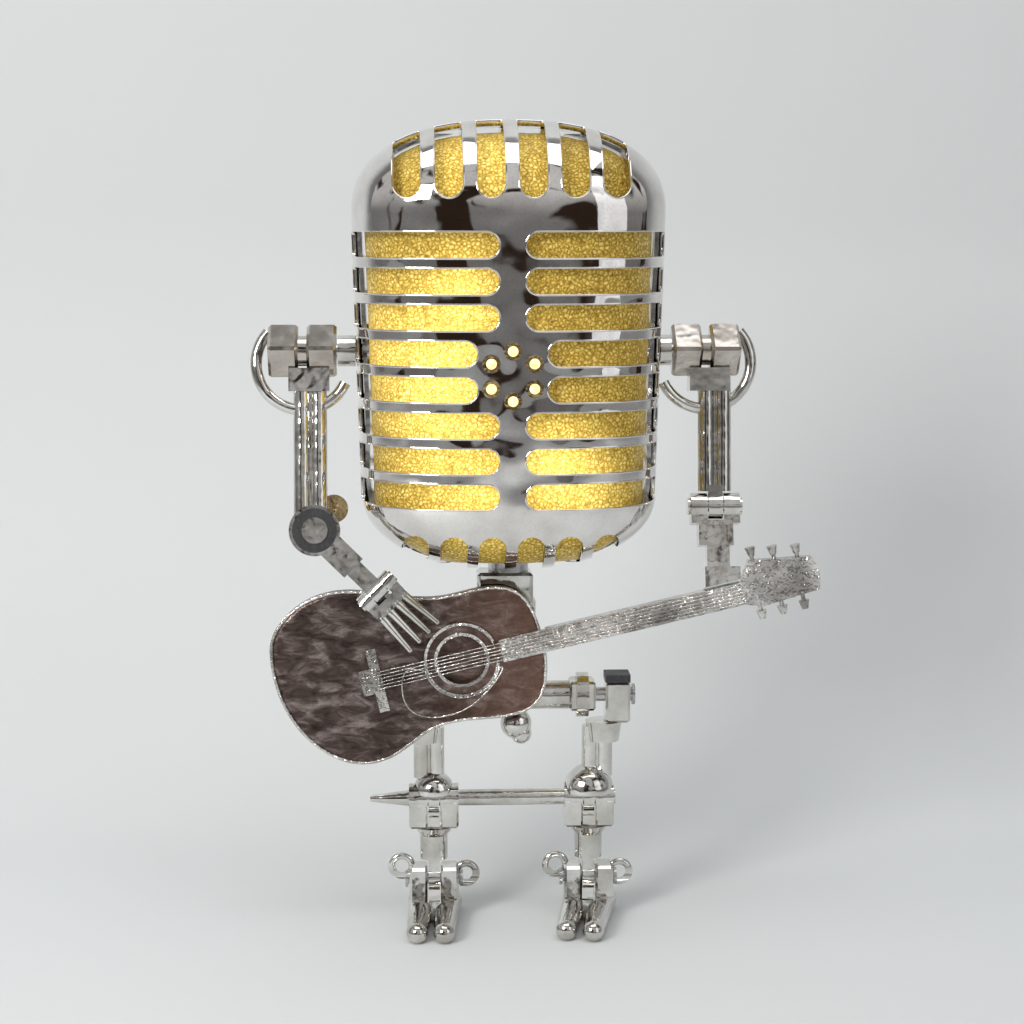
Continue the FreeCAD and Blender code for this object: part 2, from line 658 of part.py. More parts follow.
def build_right_arm():
    offset = "right_elbow_x - right_arm_x"
    tubes = twin_tubes("right", -5.0, "-right_upper_length + 4.2", TUBE_SPREAD)
    place(tubes, (offset, 0, 0))
    saddle = box("right_saddle", (-4.6, -3.4, -11.4), (11.2, 6.8, 6.4))
    low_x = f"{offset} - {RIGHT_LUG_HALF}"
    lug = rod("right_elbow_lug", "barrel_radius", 2 * RIGHT_LUG_HALF, (low_x, 0, "-right_upper_length"), "X")
    stem = box("right_elbow_stem", (low_x, -2.4, "-right_upper_length"), (2 * RIGHT_LUG_HALF, 4.8, 6))
    bore = rod("right_elbow_bore", ELBOW_PIN, 20, (f"{offset} - 10", 0, "-right_upper_length"), "X")
    body = joined("right_upper_body", tubes, saddle, lug, stem)
    arm = less("right_upper", body, bore, block_space("right_arm_space"))
    part("right_upper_arm", arm, ("right_arm_x", 0, "shoulder_z"), -X_AXIS, "right_lean")
    yoke("right", body)
    elbow = ("right_elbow_x", "-right_upper_length * sin(right_lean * 1deg)",
             "shoulder_z - right_upper_length * cos(right_lean * 1deg)")
    pin = rod("right_pin", ELBOW_PIN, "barrel_half * 2 + 0.4", ("-barrel_half - 0.2", 0, 0), "X")
    heads = [rod(f"right_pin_head_{number}", 2.4, 0.7, (low, 0, 0), "X")
             for number, low in enumerate(("-barrel_half - 0.8", "barrel_half + 0.1"))]
    part("right_elbow_pin", joined("right_pin_body", pin, *heads), elbow, -X_AXIS, "right_lean")

    cheek_width = "barrel_half - 2.3"
    cheeks = []
    for number, low in enumerate(("-barrel_half", 2.3)):
        cheeks.append(rod(f"right_cheek_{number}", "barrel_radius", cheek_width, (low, 0, 0), "X"))
        cheeks.append(box(f"right_cheek_drop_{number}", (low, -2.6, -5), (cheek_width, 5.2, 5)))
    beam = box("right_beam", (-4.8, -2.6, -11.2), (9.6, 5.2, 7.1))
    bore = rod("right_fore_bore", f"{ELBOW_PIN} + fit_gap", 20, (-10, 0, 0), "X")
    panel = box("right_beam_panel", (-3.1, -3.1, -10.2), (6.2, 1.1, 4.6))
    fore = less("right_fore", joined("right_fore_body", beam, *cheeks), bore, panel)
    part("right_forearm", fore, elbow, -X_AXIS, "right_fore_lean")
    stage = box("right_stage", (-2.6, -2.1, -17.2), (6.3, 4.2, 6.0))
    part("right_forearm_slide", group("right_slide", stage), elbow, -X_AXIS, "right_fore_lean")
    palm = box("right_palm", (-3.4, -3.3, -26.5), (9.8, 6.6, 9.3))
    slope = group("right_palm_slope", box("right_palm_under", (-20, -10, -20), (40, 20, 20)))
    place(slope, ("right_grip_x", 0, "right_grip_drop"), -Y_AXIS, "neck_angle")
    grooves = [box(f"right_palm_groove_{number}", (low, -3.8, -30), (0.7, 1.0, 9))
               for number, low in enumerate((-0.6, 2.0, 4.4))]
    part("right_hand", less("right_palm_cut", palm, slope, *grooves), elbow, -X_AXIS, "right_fore_lean")


# Guitar, drawn on its front as (X, Z) in the figure's frame
BODY_OUTLINE = (
    (-65.9, 79.9), (-63.6, 67.3), (-58.0, 57.4), (-50.0, 50.6), (-40.0, 48.0), (-30.5, 51.3),
    (-22.0, 57.5), (-11.5, 60.2), (-0.8, 61.2), (7.0, 64.4), (10.0, 74.0), (7.8, 86.5),
    (1.5, 96.0), (-7.0, 97.0), (-18.0, 94.6), (-33.0, 95.0), (-47.0, 96.2), (-58.5, 92.0),
)
GUARD_OUTLINE = ((-29.9, 70.6), (-25.5, 61.6), (-14.4, 62.2), (-6.4, 68.0), (-1.9, 74.8), (-13.3, 72.0))
HEADSTOCK = ((80.5, -3.4), (85.0, -4.9), (101.4, -3.8), (102.3, 1.0), (101.0, 5.7), (83.5, 8.6), (80.5, 3.6))
AXIS_X = -13.3
AXIS_Z = 77.0
NUT = 80.5
SCALE_LENGTH = 104.5
BOARD_START = 11.2
NECK_START = 24.4
FRETS = 17
STRINGS = 6
HOLE_RADIUS = 6.8
PEG_PLACES = ((84.8, 1), (90.8, 1), (97.2, 1), (84.2, -1), (90.2, -1), (96.4, -1))


def on_neck(label, thing, depth):
    """Put a piece drawn along the strings at its depth from the guitar's back."""
    part(label, thing, (AXIS_X, f"guitar_back - {depth}", AXIS_Z), -Y_AXIS, "neck_angle")


def neck_stock(name):
    """The neck's bar and its heel, which the body has a pocket for."""
    shaft = box(f"{name}_shaft", (NECK_START, 0, "-neck_width / 2"), (NUT - NECK_START, 2.4, "neck_width"))
    heel = box(f"{name}_heel", (NECK_START, 0, -2.4), (4, 3.8, 4.8))
    return joined(name, shaft, heel)


def build_guitar():
    body = padded("guitar_core", lambda sketch: draw_loop(sketch, BODY_OUTLINE), "guitar_depth - 2 * soundboard")
    place(body, (0, "guitar_back", 0))
    hole = rod("sound_hole", HOLE_RADIUS, 3.4, (AXIS_X, "guitar_back - guitar_depth", AXIS_Z), "Y")
    room = neck_stock("neck_room")
    place(room, (AXIS_X, "guitar_back - guitar_depth + soundboard", AXIS_Z), -Y_AXIS, "neck_angle")
    part("guitar_body", less("guitar_hollow", body, hole, room))
    board = padded("board_plate", lambda sketch: draw_loop(sketch, BODY_OUTLINE), "soundboard")
    place(board, (0, "guitar_back - guitar_depth + 2 * soundboard", 0))
    hole = rod("board_hole", HOLE_RADIUS, 4, (AXIS_X, "guitar_back - guitar_depth - 2", AXIS_Z), "Y")
    part("guitar_soundboard", less("guitar_top", board, hole, room))
    depth = "guitar_depth - soundboard"
    front = f"({depth})"
    guard = padded("guard_plate", lambda sketch: draw_loop(sketch, GUARD_OUTLINE), 0.3)
    place(guard, (0, f"guitar_back - {front}", 0))
    clear = rod("guard_clear", 10.6, 4, (AXIS_X, f"guitar_back - {front} - 2", AXIS_Z), "Y")
    part("guitar_pickguard", less("guard", guard, clear))
    rings = []
    for number, (outer, inner) in enumerate(((10.5, 9.7), (7.7, HOLE_RADIUS))):
        disc = rod(f"rosette_disc_{number}", outer, 0.35, (0, -0.35, 0), "Y")
        bore = rod(f"rosette_bore_{number}", inner, 2, (0, -1, 0), "Y")
        rings.append(less(f"rosette_ring_{number}", disc, bore))
    board_room = box("rosette_room", (BOARD_START - 1.6, -2, "-neck_width / 2"), (20, 4, "neck_width"))
    on_neck("guitar_rosette", less("rosette", group("rosette_rings", *rings), board_room), front)
    beam = box("bridge_beam", (-25.4, -1.0, -9.0), (2.8, 1.0, 18.0))
    saddle = box("bridge_saddle", (-24.4, -1.35, -3.4), (0.8, 1.0, 6.8))
    base = box("bridge_base", (-28.6, -0.8, -3.6), (5.0, 0.8, 7.2))
    pins = [ball(f"bridge_pin_{number}", 0.45, (-27.4, -0.8, (number - 2.5) * 1.0)) for number in range(STRINGS)]
    on_neck("guitar_bridge", joined("bridge", beam, saddle, base, *pins), front)

    fingerboard = box("fingerboard", (BOARD_START, -0.9, "-neck_width / 2"),
                      (NUT - BOARD_START, 0.9, "neck_width"))
    head = padded("head_plate", lambda sketch: draw_polygon(sketch, HEADSTOCK), 2.8)
    place(head, (0, 2.2, 0))
    nut = box("nut", (NUT - 0.8, -1.3, -2.9), (0.8, 1.6, 5.8))
    on_neck("guitar_neck", joined("neck", neck_stock("neck_stock"), fingerboard, head, nut), front)
    frets = []
    for number in range(1, FRETS + 1):
        along = NUT - SCALE_LENGTH * (1 - 2 ** (-number / 12))
        frets.append(box(f"fret_{number}", (along - 0.2, -1.15, "-neck_width / 2 + 0.1"),
                         (0.4, 0.25, "neck_width - 0.2")))
    on_neck("guitar_frets", group("frets", *frets), front)
    strings = []
    for number in range(STRINGS):
        level = (number - 2.5) * 0.95
        strings.append(rod(f"string_{number}", 0.16, NUT + 24.4 - 0.4, (-24.4, -1.51, level), "X"))
    on_neck("guitar_strings", group("strings", *strings), front)
    pegs = []
    for number, (along, side) in enumerate(PEG_PLACES):
        edge = (8.6 - (along - 83.5) * 0.166) if side > 0 else -4.9
        low = edge - 0.6 if side > 0 else edge - 2.0
        shank = rod(f"peg_shank_{number}", 0.6, 2.6, (along, 0.8, low))
        knob_low = edge + 1.2 if side > 0 else edge - 3.6
        knob = cone(f"peg_knob_{number}", 0.9, 1.5, 2.4, (along, 0.8, knob_low))
        pegs.append(joined(f"peg_{number}", shank, knob))
    head_room = padded("peg_room", lambda sketch: draw_polygon(sketch, HEADSTOCK), 2.8)
    place(head_room, (0, 2.2, 0))
    on_neck("guitar_pegs", less("pegs", group("peg_set", *pegs), head_room), front)


PELVIS_TUBE = 4.0


def build_torso():
    post_bore = rod("post_socket", "neck_post_radius", 40, (0, 0, 80))
    tube_seat = rod("tube_seat", PELVIS_TUBE, "2 * hip_in", ("-hip_in", 0, "hip_z"), "X")
    block = bevelled("neck_block_cut", box("neck_block_raw", (0, 0, 0), (15.6, 11, 9.2)), 0.9)
    place(block, (-8.8, -5.5, "neck_block_top - 9.2"))
    column = box("torso_column", (-6, -3.5, "torso_foot - 2"), (11.6, 8.6, "neck_block_top - 9.2 - torso_foot + 2"))
    bracket = box("torso_bracket", (4.0, -3.0, 86.0), (3.6, 6.0, 6.0))
    ribs = [box(f"torso_rib_{number}", (-7.4, -3.5, 74 + 6 * number), (14.2, 9.4, 2.4)) for number in range(3)]
    part("torso", less("torso_cut", joined("torso_body", block, column, bracket, *ribs), post_bore, tube_seat))
    post = rod("post", "neck_post_radius", 26, (0, 0, 88.0))
    collar = rod("post_collar", 5.6, "base_plate_z - 0.2 - neck_block_top", (0, 0, "neck_block_top"))
    part("neck_post", joined("post_body", post, collar))
    nut = doc.addObject("Part::Prism", "post_nut")
    nut.Polygon = 6
    nut.Circumradius = 5.2
    nut.Height = 2.4
    nut_low = "base_plate_z + base_plate_wall + 0.2"
    place(nut, (0, 0, nut_low))
    nut_bore = rod("post_nut_bore", "neck_post_radius", 10, (0, 0, nut_low))
    part("neck_nut", less("neck_nut_cut", nut, nut_bore))
    bracket = box("guitar_arm", (-4, -6.5, 73), (8, 3.0, 12))
    screw_bore = rod("guitar_arm_bore", 1.3, 10, (0, -10, 79), "Y")
    part("guitar_bracket", less("guitar_bracket_cut", bracket, screw_bore))
    part("guitar_screw", group("guitar_screw_set", rod("guitar_screw_bar", 1.3, 3.0, (0, -6.5, 79), "Y")))

    tube = rod("pelvis_tube", PELVIS_TUBE, "2 * hip_in", ("-hip_in", 0, "hip_z"), "X")
    yard = box("pelvis_yard", (-6, -3.5, "hip_z"), (11.6, 8.6, "torso_foot - 2 - hip_z"))
    lobes = [ball("knob_ball", 4.4, (2.2, -0.5, 56.4)), ball("knob_low", 3.0, (3.6, -0.8, 53.6)),
             rod("knob_stem", 3.0, 5.5, (2.4, -0.2, 56.5))]
    blocks = []
    for side, sign in SIDES.items():
        low = "-hip_in - hip_block_in" if sign < 0 else "hip_in"
        raw = box(f"{side}_hip_raw", (0, 0, 0), ("hip_block_in", 8.6, 8.4))
        cut = bevelled(f"{side}_hip_cut", raw, 0.7)
        place(cut, (low, -4.3, "hip_z - 4.0"))
        blocks.append(cut)
        blocks.append(rod(f"{side}_hip_lug", 6.3, 3.4, (f"{low} + 2", 0, "hip_z"), "X"))
    axle = rod("pelvis_bore", "hip_axle_radius", 120, (-60, 0, "hip_z"), "X")
    part("pelvis", less("pelvis_cut", joined("pelvis_body", tube, yard, *lobes, *blocks), axle))
    reach = "hip_in + hip_block_in + hip_block_gap + hip_block_out + 0.8"
    part("hip_axle", joined("hip_axle_body", rod("hip_bar", "hip_axle_radius", f"2 * ({reach})",
                                                 (f"-({reach})", 0, "hip_z"), "X"),
                            *[rod(f"hip_bar_head_{number}", 3.0, 0.8, (low, 0, "hip_z"), "X")
                              for number, low in enumerate((f"-({reach}) - 0.7", f"{reach} - 0.1"))]))


THIGH_X = {"left": -22.5, "right": 25.3}
LUG_HALF = 1.5


def build_thighs():
    for side, sign in SIDES.items():
        thigh_x = THIGH_X[side]
        leg_x = f"{side}_leg_x"
        inner = "hip_in + hip_block_in + hip_block_gap"
        low = f"-({inner}) - hip_block_out" if sign < 0 else inner
        raw = box(f"{side}_thigh_raw", (0, 0, 0), ("hip_block_out", 8.0, 11.6))
        block = bevelled(f"{side}_thigh_cut", raw, 0.7)
        place(block, (low, -4.0, "hip_z - 7.6"))
        cup = cone(f"{side}_cup", 4.4, 5.2, 5.6, (thigh_x + sign * 1.8, 0, "hip_z - 13.2"))
        tubes = [rod(f"{side}_thigh_tube_{number}", 2.25, "hip_z - 9 - 41", (thigh_x + offset * 2.1, 0, 41.0))
                 for number, offset in enumerate((-1, 1))]
        web = box(f"{side}_thigh_web", (thigh_x - 2.1, -1.2, 41), (4.2, 2.4, "hip_z - 9 - 41"))
        dome = ball(f"{side}_dome", 7.2 if sign > 0 else 5.8, (leg_x, 0, "knee_z + 2.2"))
        dome_cut = box(f"{side}_dome_cut", (f"{leg_x} - 10", -10, "knee_z - 20"), (20, 20, 21.8))
        dome_room = rod(f"{side}_dome_room", "knee_round + 0.6", 30, (f"{leg_x} - 15", 0, "knee_z"), "X")
        cap = less(f"{side}_dome_cap", dome, dome_cut, dome_room)
        lug = rod(f"{side}_knee_lug", "knee_round", 2 * LUG_HALF, (f"{leg_x} - {LUG_HALF}", 0, "knee_z"), "X")
        web_low = box(f"{side}_knee_web", (f"{leg_x} - {LUG_HALF}", -3, "knee_z"), (2 * LUG_HALF, 6, 7))
        bar_bore = rod(f"{side}_knee_bore", "knee_bar_radius", 60, (f"{leg_x} - 30", 0, "knee_z"), "X")
        hip_bore = rod(f"{side}_hip_bore", "hip_axle_radius + fit_gap", 120, (-60, 0, "hip_z"), "X")
        body = joined(f"{side}_thigh_body", block, cup, *tubes, web, cap, lug, web_low)
        part(f"{side}_thigh", less(f"{side}_thigh_whole", body, bar_bore, hip_bore))
        raw = box(f"{side}_cap_raw", (low, -4.0, "hip_z + 4.0"), ("hip_block_out", 8.0, 2.2))
        wedge = box(f"{side}_cap_wedge", (0, 0, 0), (20, 20, 10))
        place(wedge, (f"{low} - 6", -10, "hip_z + 6.2" if sign > 0 else "hip_z + 6.9"), Y_AXIS * -sign, 9)
        part(f"{side}_hip_cap", less(f"{side}_cap_cut", raw, wedge))
    bar_low = "left_leg_x - 7.6"
    bar_high = "right_leg_x + 7.6"
    bar = rod("knee_rod", "knee_bar_radius", f"{bar_high} - ({bar_low})", (bar_low, 0, "knee_z"), "X")
    tab = cone("knee_tab", 0.9, 2.2, 10.4, (f"{bar_low} - 10.4", 0, "knee_z"), "X")
    part("knee_bar", joined("knee_bar_body", bar, tab))


def build_shins():
    ankle_drop = "(knee_z - ankle_z)"
    for side, sign in SIDES.items():
        pieces = []
        for number, offset in enumerate((-1, 1)):
            low = -7.0 if offset < 0 else LUG_HALF + 0.3
            width = 7.0 - LUG_HALF - 0.3
            pieces.append(rod(f"{side}_knee_eye_{number}", "knee_round", width, (low, 0, 0), "X"))
            raw = box(f"{side}_knee_raw_{number}", (0, 0, 0), (width, "2 * knee_round", 8.0))
            cut = bevelled(f"{side}_knee_cut_{number}", raw, 0.6)
            place(cut, (low, "-knee_round", -8.0))
            pieces.append(cut)
        tie = box(f"{side}_knee_tie", (-3, -3.4, -8.6), (6, 6.8, 3.8))
        taper = cone(f"{side}_shin_taper", 3.6, 5.6, 3.0, (0, 0, -11.0))
        shin = rod(f"{side}_shin_tube", 3.9, 8.6, (0, 0, f"-{ankle_drop} + 6.2"))
        neck = box(f"{side}_shin_neck", (-1.6, -2.2, f"-{ankle_drop}"), (3.2, 4.4, 8))
        eye = rod(f"{side}_ankle_eye", 3.4, 3.2, (-1.6, 0, f"-{ankle_drop}"), "X")
        bar_bore = rod(f"{side}_shin_bar_bore", "knee_bar_radius + fit_gap", 40, (-20, 0, 0), "X")
        pin_bore = rod(f"{side}_shin_pin_bore", "ankle_pin_radius", 40, (-20, 0, f"-{ankle_drop}"), "X")
        body = joined(f"{side}_shin_body", *pieces, tie, taper, shin, neck, eye)
        whole = less(f"{side}_shin_whole", body, bar_bore, pin_bore)
        part(f"{side}_shin", whole, (f"{side}_leg_x", 0, "knee_z"))
        pin = rod(f"{side}_pin_bar", "ankle_pin_radius", 15.2, (-7.6, 0, 0), "X")
        heads = [rod(f"{side}_pin_head_{number}", 2.4, 0.8, (low, 0, 0), "X")
                 for number, low in enumerate((-8.2, 7.4))]
        part(f"{side}_ankle_pin", joined(f"{side}_pin_whole", pin, *heads), (f"{side}_leg_x", 0, "ankle_z"))


TOE_HEIGHT = 2.7


def build_feet():
    for side in SIDES:
        pieces = []
        for number, low in enumerate((-7.0, 1.9)):
            raw = box(f"{side}_cheek_raw_{number}", (0, 0, 0), (5.1, 8.4, 9.6))
            cut = bevelled(f"{side}_cheek_{number}", raw, 0.7)
            place(cut, (low, -4.2, -5.6))
            pieces.append(cut)
        toes = []
        for number, offset in enumerate((-1, 1)):
            across = offset * 3.75
            toes.append(cone(f"{side}_toe_{number}", 2.9, "toe_radius", "toe_length - 6",
                             (across, "-toe_tip + 3", f"{TOE_HEIGHT} - ankle_z"), "Y"))
            toes.append(ball(f"{side}_toe_tip_{number}", 2.95, (across, "-toe_tip + 3", f"{TOE_HEIGHT} - ankle_z")))
            toes.append(ball(f"{side}_heel_{number}", 4.0, (across, "toe_length - toe_tip + 1", f"{TOE_HEIGHT} - ankle_z")))
        bridge = box(f"{side}_foot_bridge", (-6, -7, "1.0 - ankle_z"), (12, 13, 5.2))
        pair = joined(f"{side}_toe_pair", *toes, bridge)
        place(pair, (0, 0, 0), -Z_AXIS, f"{side}_foot_turn")
        rings = []
        for number, (across, up, ring) in enumerate(((-9.2, 3.0, 2.9), (9.2, 0.6, 2.9))):
            loop = doc.addObject("Part::Torus", f"{side}_ankle_loop_{number}")
            loop.Radius1 = ring
            loop.Radius2 = 1.05
            loop.Placement = Placement(Vector(across, 2.6, up), Rotation(X_AXIS, 90))
            rings.append(loop)
        floor = box(f"{side}_floor", (-40, -60, "-ankle_z - 20"), (80, 120, 20))
        slot = box(f"{side}_ankle_slot", (-1.9, -3.9, -3.9), (3.8, 9.5, 30))
        pin_bore = rod(f"{side}_foot_bore", "ankle_pin_radius + fit_gap", 40, (-20, 0, 0), "X")
        head_room = [rod(f"{side}_foot_head_{number}", 2.6, 20, (low, 0, 0), "X")
                     for number, low in enumerate((-27.1, 7.1))]
        body = joined(f"{side}_foot_body", *pieces, pair, *rings)
        foot = less(f"{side}_foot_whole", body, floor, slot, pin_bore, *head_room)
        part(f"{side}_foot", foot, (f"{side}_leg_x", 0, "ankle_z"))


PLATE_SCREW_Z = 104.0


def build_plate_screws():
    """Two screws up through the frame's foot and the film into the base plate."""
    screws = []
    for number, sign in enumerate((-1, 1)):
        head = rod(f"plate_screw_head_{number}", 2.1, 1.2, (sign * PLATE_SCREW_X, 0, PLATE_SCREW_Z - 1.2))
        top = f"base_plate_z + base_plate_wall - {PLATE_SCREW_Z}"
        shank = rod(f"plate_screw_shank_{number}", PLATE_SCREW_RADIUS, top, (sign * PLATE_SCREW_X, 0, PLATE_SCREW_Z))
        screws.append(joined(f"plate_screw_{number}", head, shank))
    part("base_plate_screws", group("plate_screws", *screws))


build_head()
build_studs()
build_lamp_inside()
build_shoulders()
build_left_upper_arm()
build_left_forearm()
build_right_arm()
build_guitar()
build_torso()
build_thighs()
build_shins()
build_feet()
build_plate_screws()
doc.recompute()

failed = [item.Name for item in doc.Objects if {"Invalid", "Error"} & set(item.State)]
for thing in parts:
    if thing.Shape.isNull() or not thing.Shape.isValid() or not thing.Shape.Solids:
        failed.append(thing.Label)
if failed:
    sys.exit(f"failed: {failed}")
for thing in parts:
    thing.Shape.exportStep(f"parts/{thing.Label}.step")
    print(thing.Label, len(thing.Shape.Solids), round(thing.Shape.Volume, 1))
whole = Part.makeCompound([thing.Shape for thing in parts]).BoundBox
print("box", whole)
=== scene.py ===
import json
import math

import bmesh
import bpy
import numpy as np
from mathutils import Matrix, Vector, noise
from mathutils.geometry import delaunay_2d_cdt


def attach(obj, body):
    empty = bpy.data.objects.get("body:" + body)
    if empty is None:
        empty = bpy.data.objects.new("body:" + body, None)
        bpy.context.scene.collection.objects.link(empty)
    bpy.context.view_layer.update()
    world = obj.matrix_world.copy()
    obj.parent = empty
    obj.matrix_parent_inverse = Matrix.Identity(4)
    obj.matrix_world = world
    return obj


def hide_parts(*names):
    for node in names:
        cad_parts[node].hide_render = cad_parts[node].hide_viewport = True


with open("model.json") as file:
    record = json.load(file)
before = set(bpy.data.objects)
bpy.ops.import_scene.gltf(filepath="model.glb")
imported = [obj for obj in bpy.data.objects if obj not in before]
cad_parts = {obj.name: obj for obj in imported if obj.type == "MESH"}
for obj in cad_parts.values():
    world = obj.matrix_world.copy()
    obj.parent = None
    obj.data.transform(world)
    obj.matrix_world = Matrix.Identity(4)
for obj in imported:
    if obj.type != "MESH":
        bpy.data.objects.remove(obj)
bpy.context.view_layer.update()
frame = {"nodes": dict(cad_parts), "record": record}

MM = 0.001
# Where the figure's own axis, up through the middle of the head, stands in the shared frame
SHIFT = Vector((-0.0076, 0.00067, 0.0))


def at(x, y, z):
    """A point given in millimetres from the figure's axis and the floor."""
    return Vector((x, y, z)) * MM + SHIFT


# Camera and studio
CAMERA_AT = at(-26, -600, 200)
CAMERA_AIM = at(1.112, 0, 116.787)
FOCAL_LENGTH = 76.14
SENSOR = 36.0


def add_camera():
    data = bpy.data.cameras.new("view_camera")
    data.lens = FOCAL_LENGTH
    data.sensor_width = SENSOR
    data.clip_start = 0.01
    camera = bpy.data.objects.new("view_camera", data)
    bpy.context.collection.objects.link(camera)
    camera.location = CAMERA_AT
    camera.rotation_euler = (CAMERA_AIM - CAMERA_AT).to_track_quat("-Z", "Y").to_euler()
    bpy.context.scene.camera = camera


def add_lamp(name, place, aim, size, watts, colour):
    data = bpy.data.lights.new(name, "AREA")
    data.shape = "RECTANGLE"
    data.size, data.size_y = size
    data.energy = watts
    data.color = colour
    lamp = bpy.data.objects.new(name, data)
    bpy.context.collection.objects.link(lamp)
    lamp.location = place
    lamp.rotation_euler = (aim - place).to_track_quat("-Z", "Y").to_euler()


class Nodes:
    """A short way to write a node material."""

    def __init__(self, name):
        self.material = bpy.data.materials.new(name)
        self.material.use_nodes = True
        self.tree = self.material.node_tree
        self.tree.nodes.clear()
        self.output = self.add("ShaderNodeOutputMaterial")
        self.shader = self.add("ShaderNodeBsdfPrincipled")
        self.link(self.shader.outputs[0], self.output.inputs["Surface"])

    def add(self, kind, **settings):
        node = self.tree.nodes.new(kind)
        for key, value in settings.items():
            setattr(node, key, value)
        return node

    def link(self, source, target):
        self.tree.links.new(source, target)

    def set(self, **values):
        for key, value in values.items():
            self.shader.inputs[key.replace("_", " ")].default_value = value

    def point(self):
        return self.add("ShaderNodeTexCoord").outputs["Object"]

    def noise(self, scale, detail=4.0, rough=0.55, distortion=0.0, stretch=None):
        node = self.add("ShaderNodeTexNoise")
        node.inputs["Scale"].default_value = scale
        node.inputs["Detail"].default_value = detail
        node.inputs["Roughness"].default_value = rough
        node.inputs["Distortion"].default_value = distortion
        source = self.point()
        if stretch:
            mapping = self.add("ShaderNodeMapping")
            mapping.inputs["Scale"].default_value = stretch
            self.link(source, mapping.inputs["Vector"])
            source = mapping.outputs[0]
        self.link(source, node.inputs["Vector"])
        return node.outputs["Fac"]

    def cell_edges(self, scale):
        """How far each point is from the edge of its cell."""
        node = self.add("ShaderNodeTexVoronoi", feature="DISTANCE_TO_EDGE")
        node.inputs["Scale"].default_value = scale
        self.link(self.point(), node.inputs["Vector"])
        return node.outputs["Distance"]

    def ramp(self, source, *stops):
        node = self.add("ShaderNodeValToRGB")
        elements = node.color_ramp.elements
        while len(elements) < len(stops):
            elements.new(0.5)
        for element, (place, colour) in zip(elements, stops):
            element.position = place
            element.color = (*colour, 1.0)
        self.link(source, node.inputs["Fac"])
        return node.outputs["Color"]

    def math(self, operation, first, second=None):
        node = self.add("ShaderNodeMath", operation=operation)
        for socket, value in zip(node.inputs, (first, second)):
            if isinstance(value, (int, float)):
                socket.default_value = value
            elif value is not None:
                self.link(value, socket)
        return node.outputs[0]

    def mix(self, factor, first, second, blend="MIX"):
        node = self.add("ShaderNodeMix", data_type="RGBA", blend_type=blend)
        for socket, value in ((node.inputs[0], factor), (node.inputs[6], first), (node.inputs[7], second)):
            if isinstance(value, (int, float)):
                socket.default_value = value
            elif isinstance(value, tuple):
                socket.default_value = (*value, 1.0)
            else:
                self.link(value, socket)
        return node.outputs[2]

    def bump(self, height, strength, distance, before=None):
        node = self.add("ShaderNodeBump")
        node.inputs["Strength"].default_value = strength
        node.inputs["Distance"].default_value = distance
        self.link(height, node.inputs["Height"])
        if before:
            self.link(before, node.inputs["Normal"])
        self.link(node.outputs[0], self.shader.inputs["Normal"])
        return node.outputs[0]

    def feed(self, **sources):
        for key, source in sources.items():
            self.link(source, self.shader.inputs[key.replace("_", " ")])


def grey(level):
    return (level, level, level)


def metal(name, light, dark, roughness, wobble, grain=900.0, grain_depth=0.15):
    """Plated metal: a slow change of tone, fine tarnish, smears in the gloss and a wobble in reflections."""
    nodes = Nodes(name)
    nodes.set(Metallic=1.0)
    slow = nodes.noise(70.0, 3.0)
    fine = nodes.noise(grain, 5.0, 0.65)
    tone = nodes.ramp(slow, (0.38, dark), (0.60, light))
    spots = nodes.ramp(fine, (0.28, grey(0.72)), (0.5, grey(1.0)))
    nodes.feed(Base_Color=nodes.mix(0.5, tone, spots, "MULTIPLY"))
    low, high = roughness
    nodes.feed(Roughness=nodes.ramp(nodes.noise(170.0, 4.0), (0.35, grey(low)), (0.7, grey(high))))
    waves = nodes.bump(nodes.noise(wobble[0], 2.0), 1.0, wobble[1])
    nodes.bump(fine, grain_depth, 0.0002, waves)
    return nodes.material


# Each metal's light and dark tone, its range of roughness, the scale and depth of the wobble in its
# reflections and, where its grain isn't the usual one, the grain's scale and depth
METALS = {
    "polished_shell": ((0.84, 0.82, 0.80), (0.70, 0.67, 0.65), (0.02, 0.06), (40.0, 0.0013), 1500.0, 0.01),
    "side_frame_metal": ((0.66, 0.66, 0.65), (0.42, 0.41, 0.40), (0.10, 0.24), (90.0, 0.001)),
    "limb_chrome": ((0.74, 0.73, 0.70), (0.52, 0.50, 0.46), (0.05, 0.15), (150.0, 0.0004), 900.0, 0.04),
    "block_nickel": ((0.64, 0.60, 0.56), (0.48, 0.43, 0.38), (0.10, 0.22), (120.0, 0.0003), 1300.0, 0.04),
    "plain_steel": ((0.58, 0.58, 0.59), (0.38, 0.38, 0.38), (0.2, 0.36), (200.0, 0.0006)),
    "brass": ((0.66, 0.50, 0.26), (0.34, 0.25, 0.13), (0.15, 0.3), (300.0, 0.0006)),
    "guitar_chrome": ((0.78, 0.76, 0.73), (0.34, 0.32, 0.30), (0.10, 0.26), (420.0, 0.0012), 1500.0, 0.5),
}
# Each lit glass: the scale of its patches, its dim and bright tone, roughness and strength of light
GLASSES = {
    "lit_lens": (700.0, (0.80, 0.50, 0.12), (1.0, 0.86, 0.5), 0.15, 1.3),
    "bulb_glass": (120.0, (1.0, 0.80, 0.5), (1.0, 0.92, 0.75), 0.5, 2.0),
}
# Each plastic's tone and roughness
PLASTICS = {
    "dark_rubber": ((0.018, 0.018, 0.02), 0.5),
    "dark_plastic": ((0.03, 0.03, 0.032), 0.4),
    "circuit_board": ((0.03, 0.14, 0.07), 0.35),
}


def make_materials():
    made = {name: metal(name, *looks) for name, looks in METALS.items()}
    made["amber_liner"] = liner_material()
    for name, looks in GLASSES.items():
        made[name] = lit_glass(name, *looks)
    made["guitar_bronze"] = bronze_material()
    for name, looks in PLASTICS.items():
        made[name] = plastic(name, *looks)
    return made


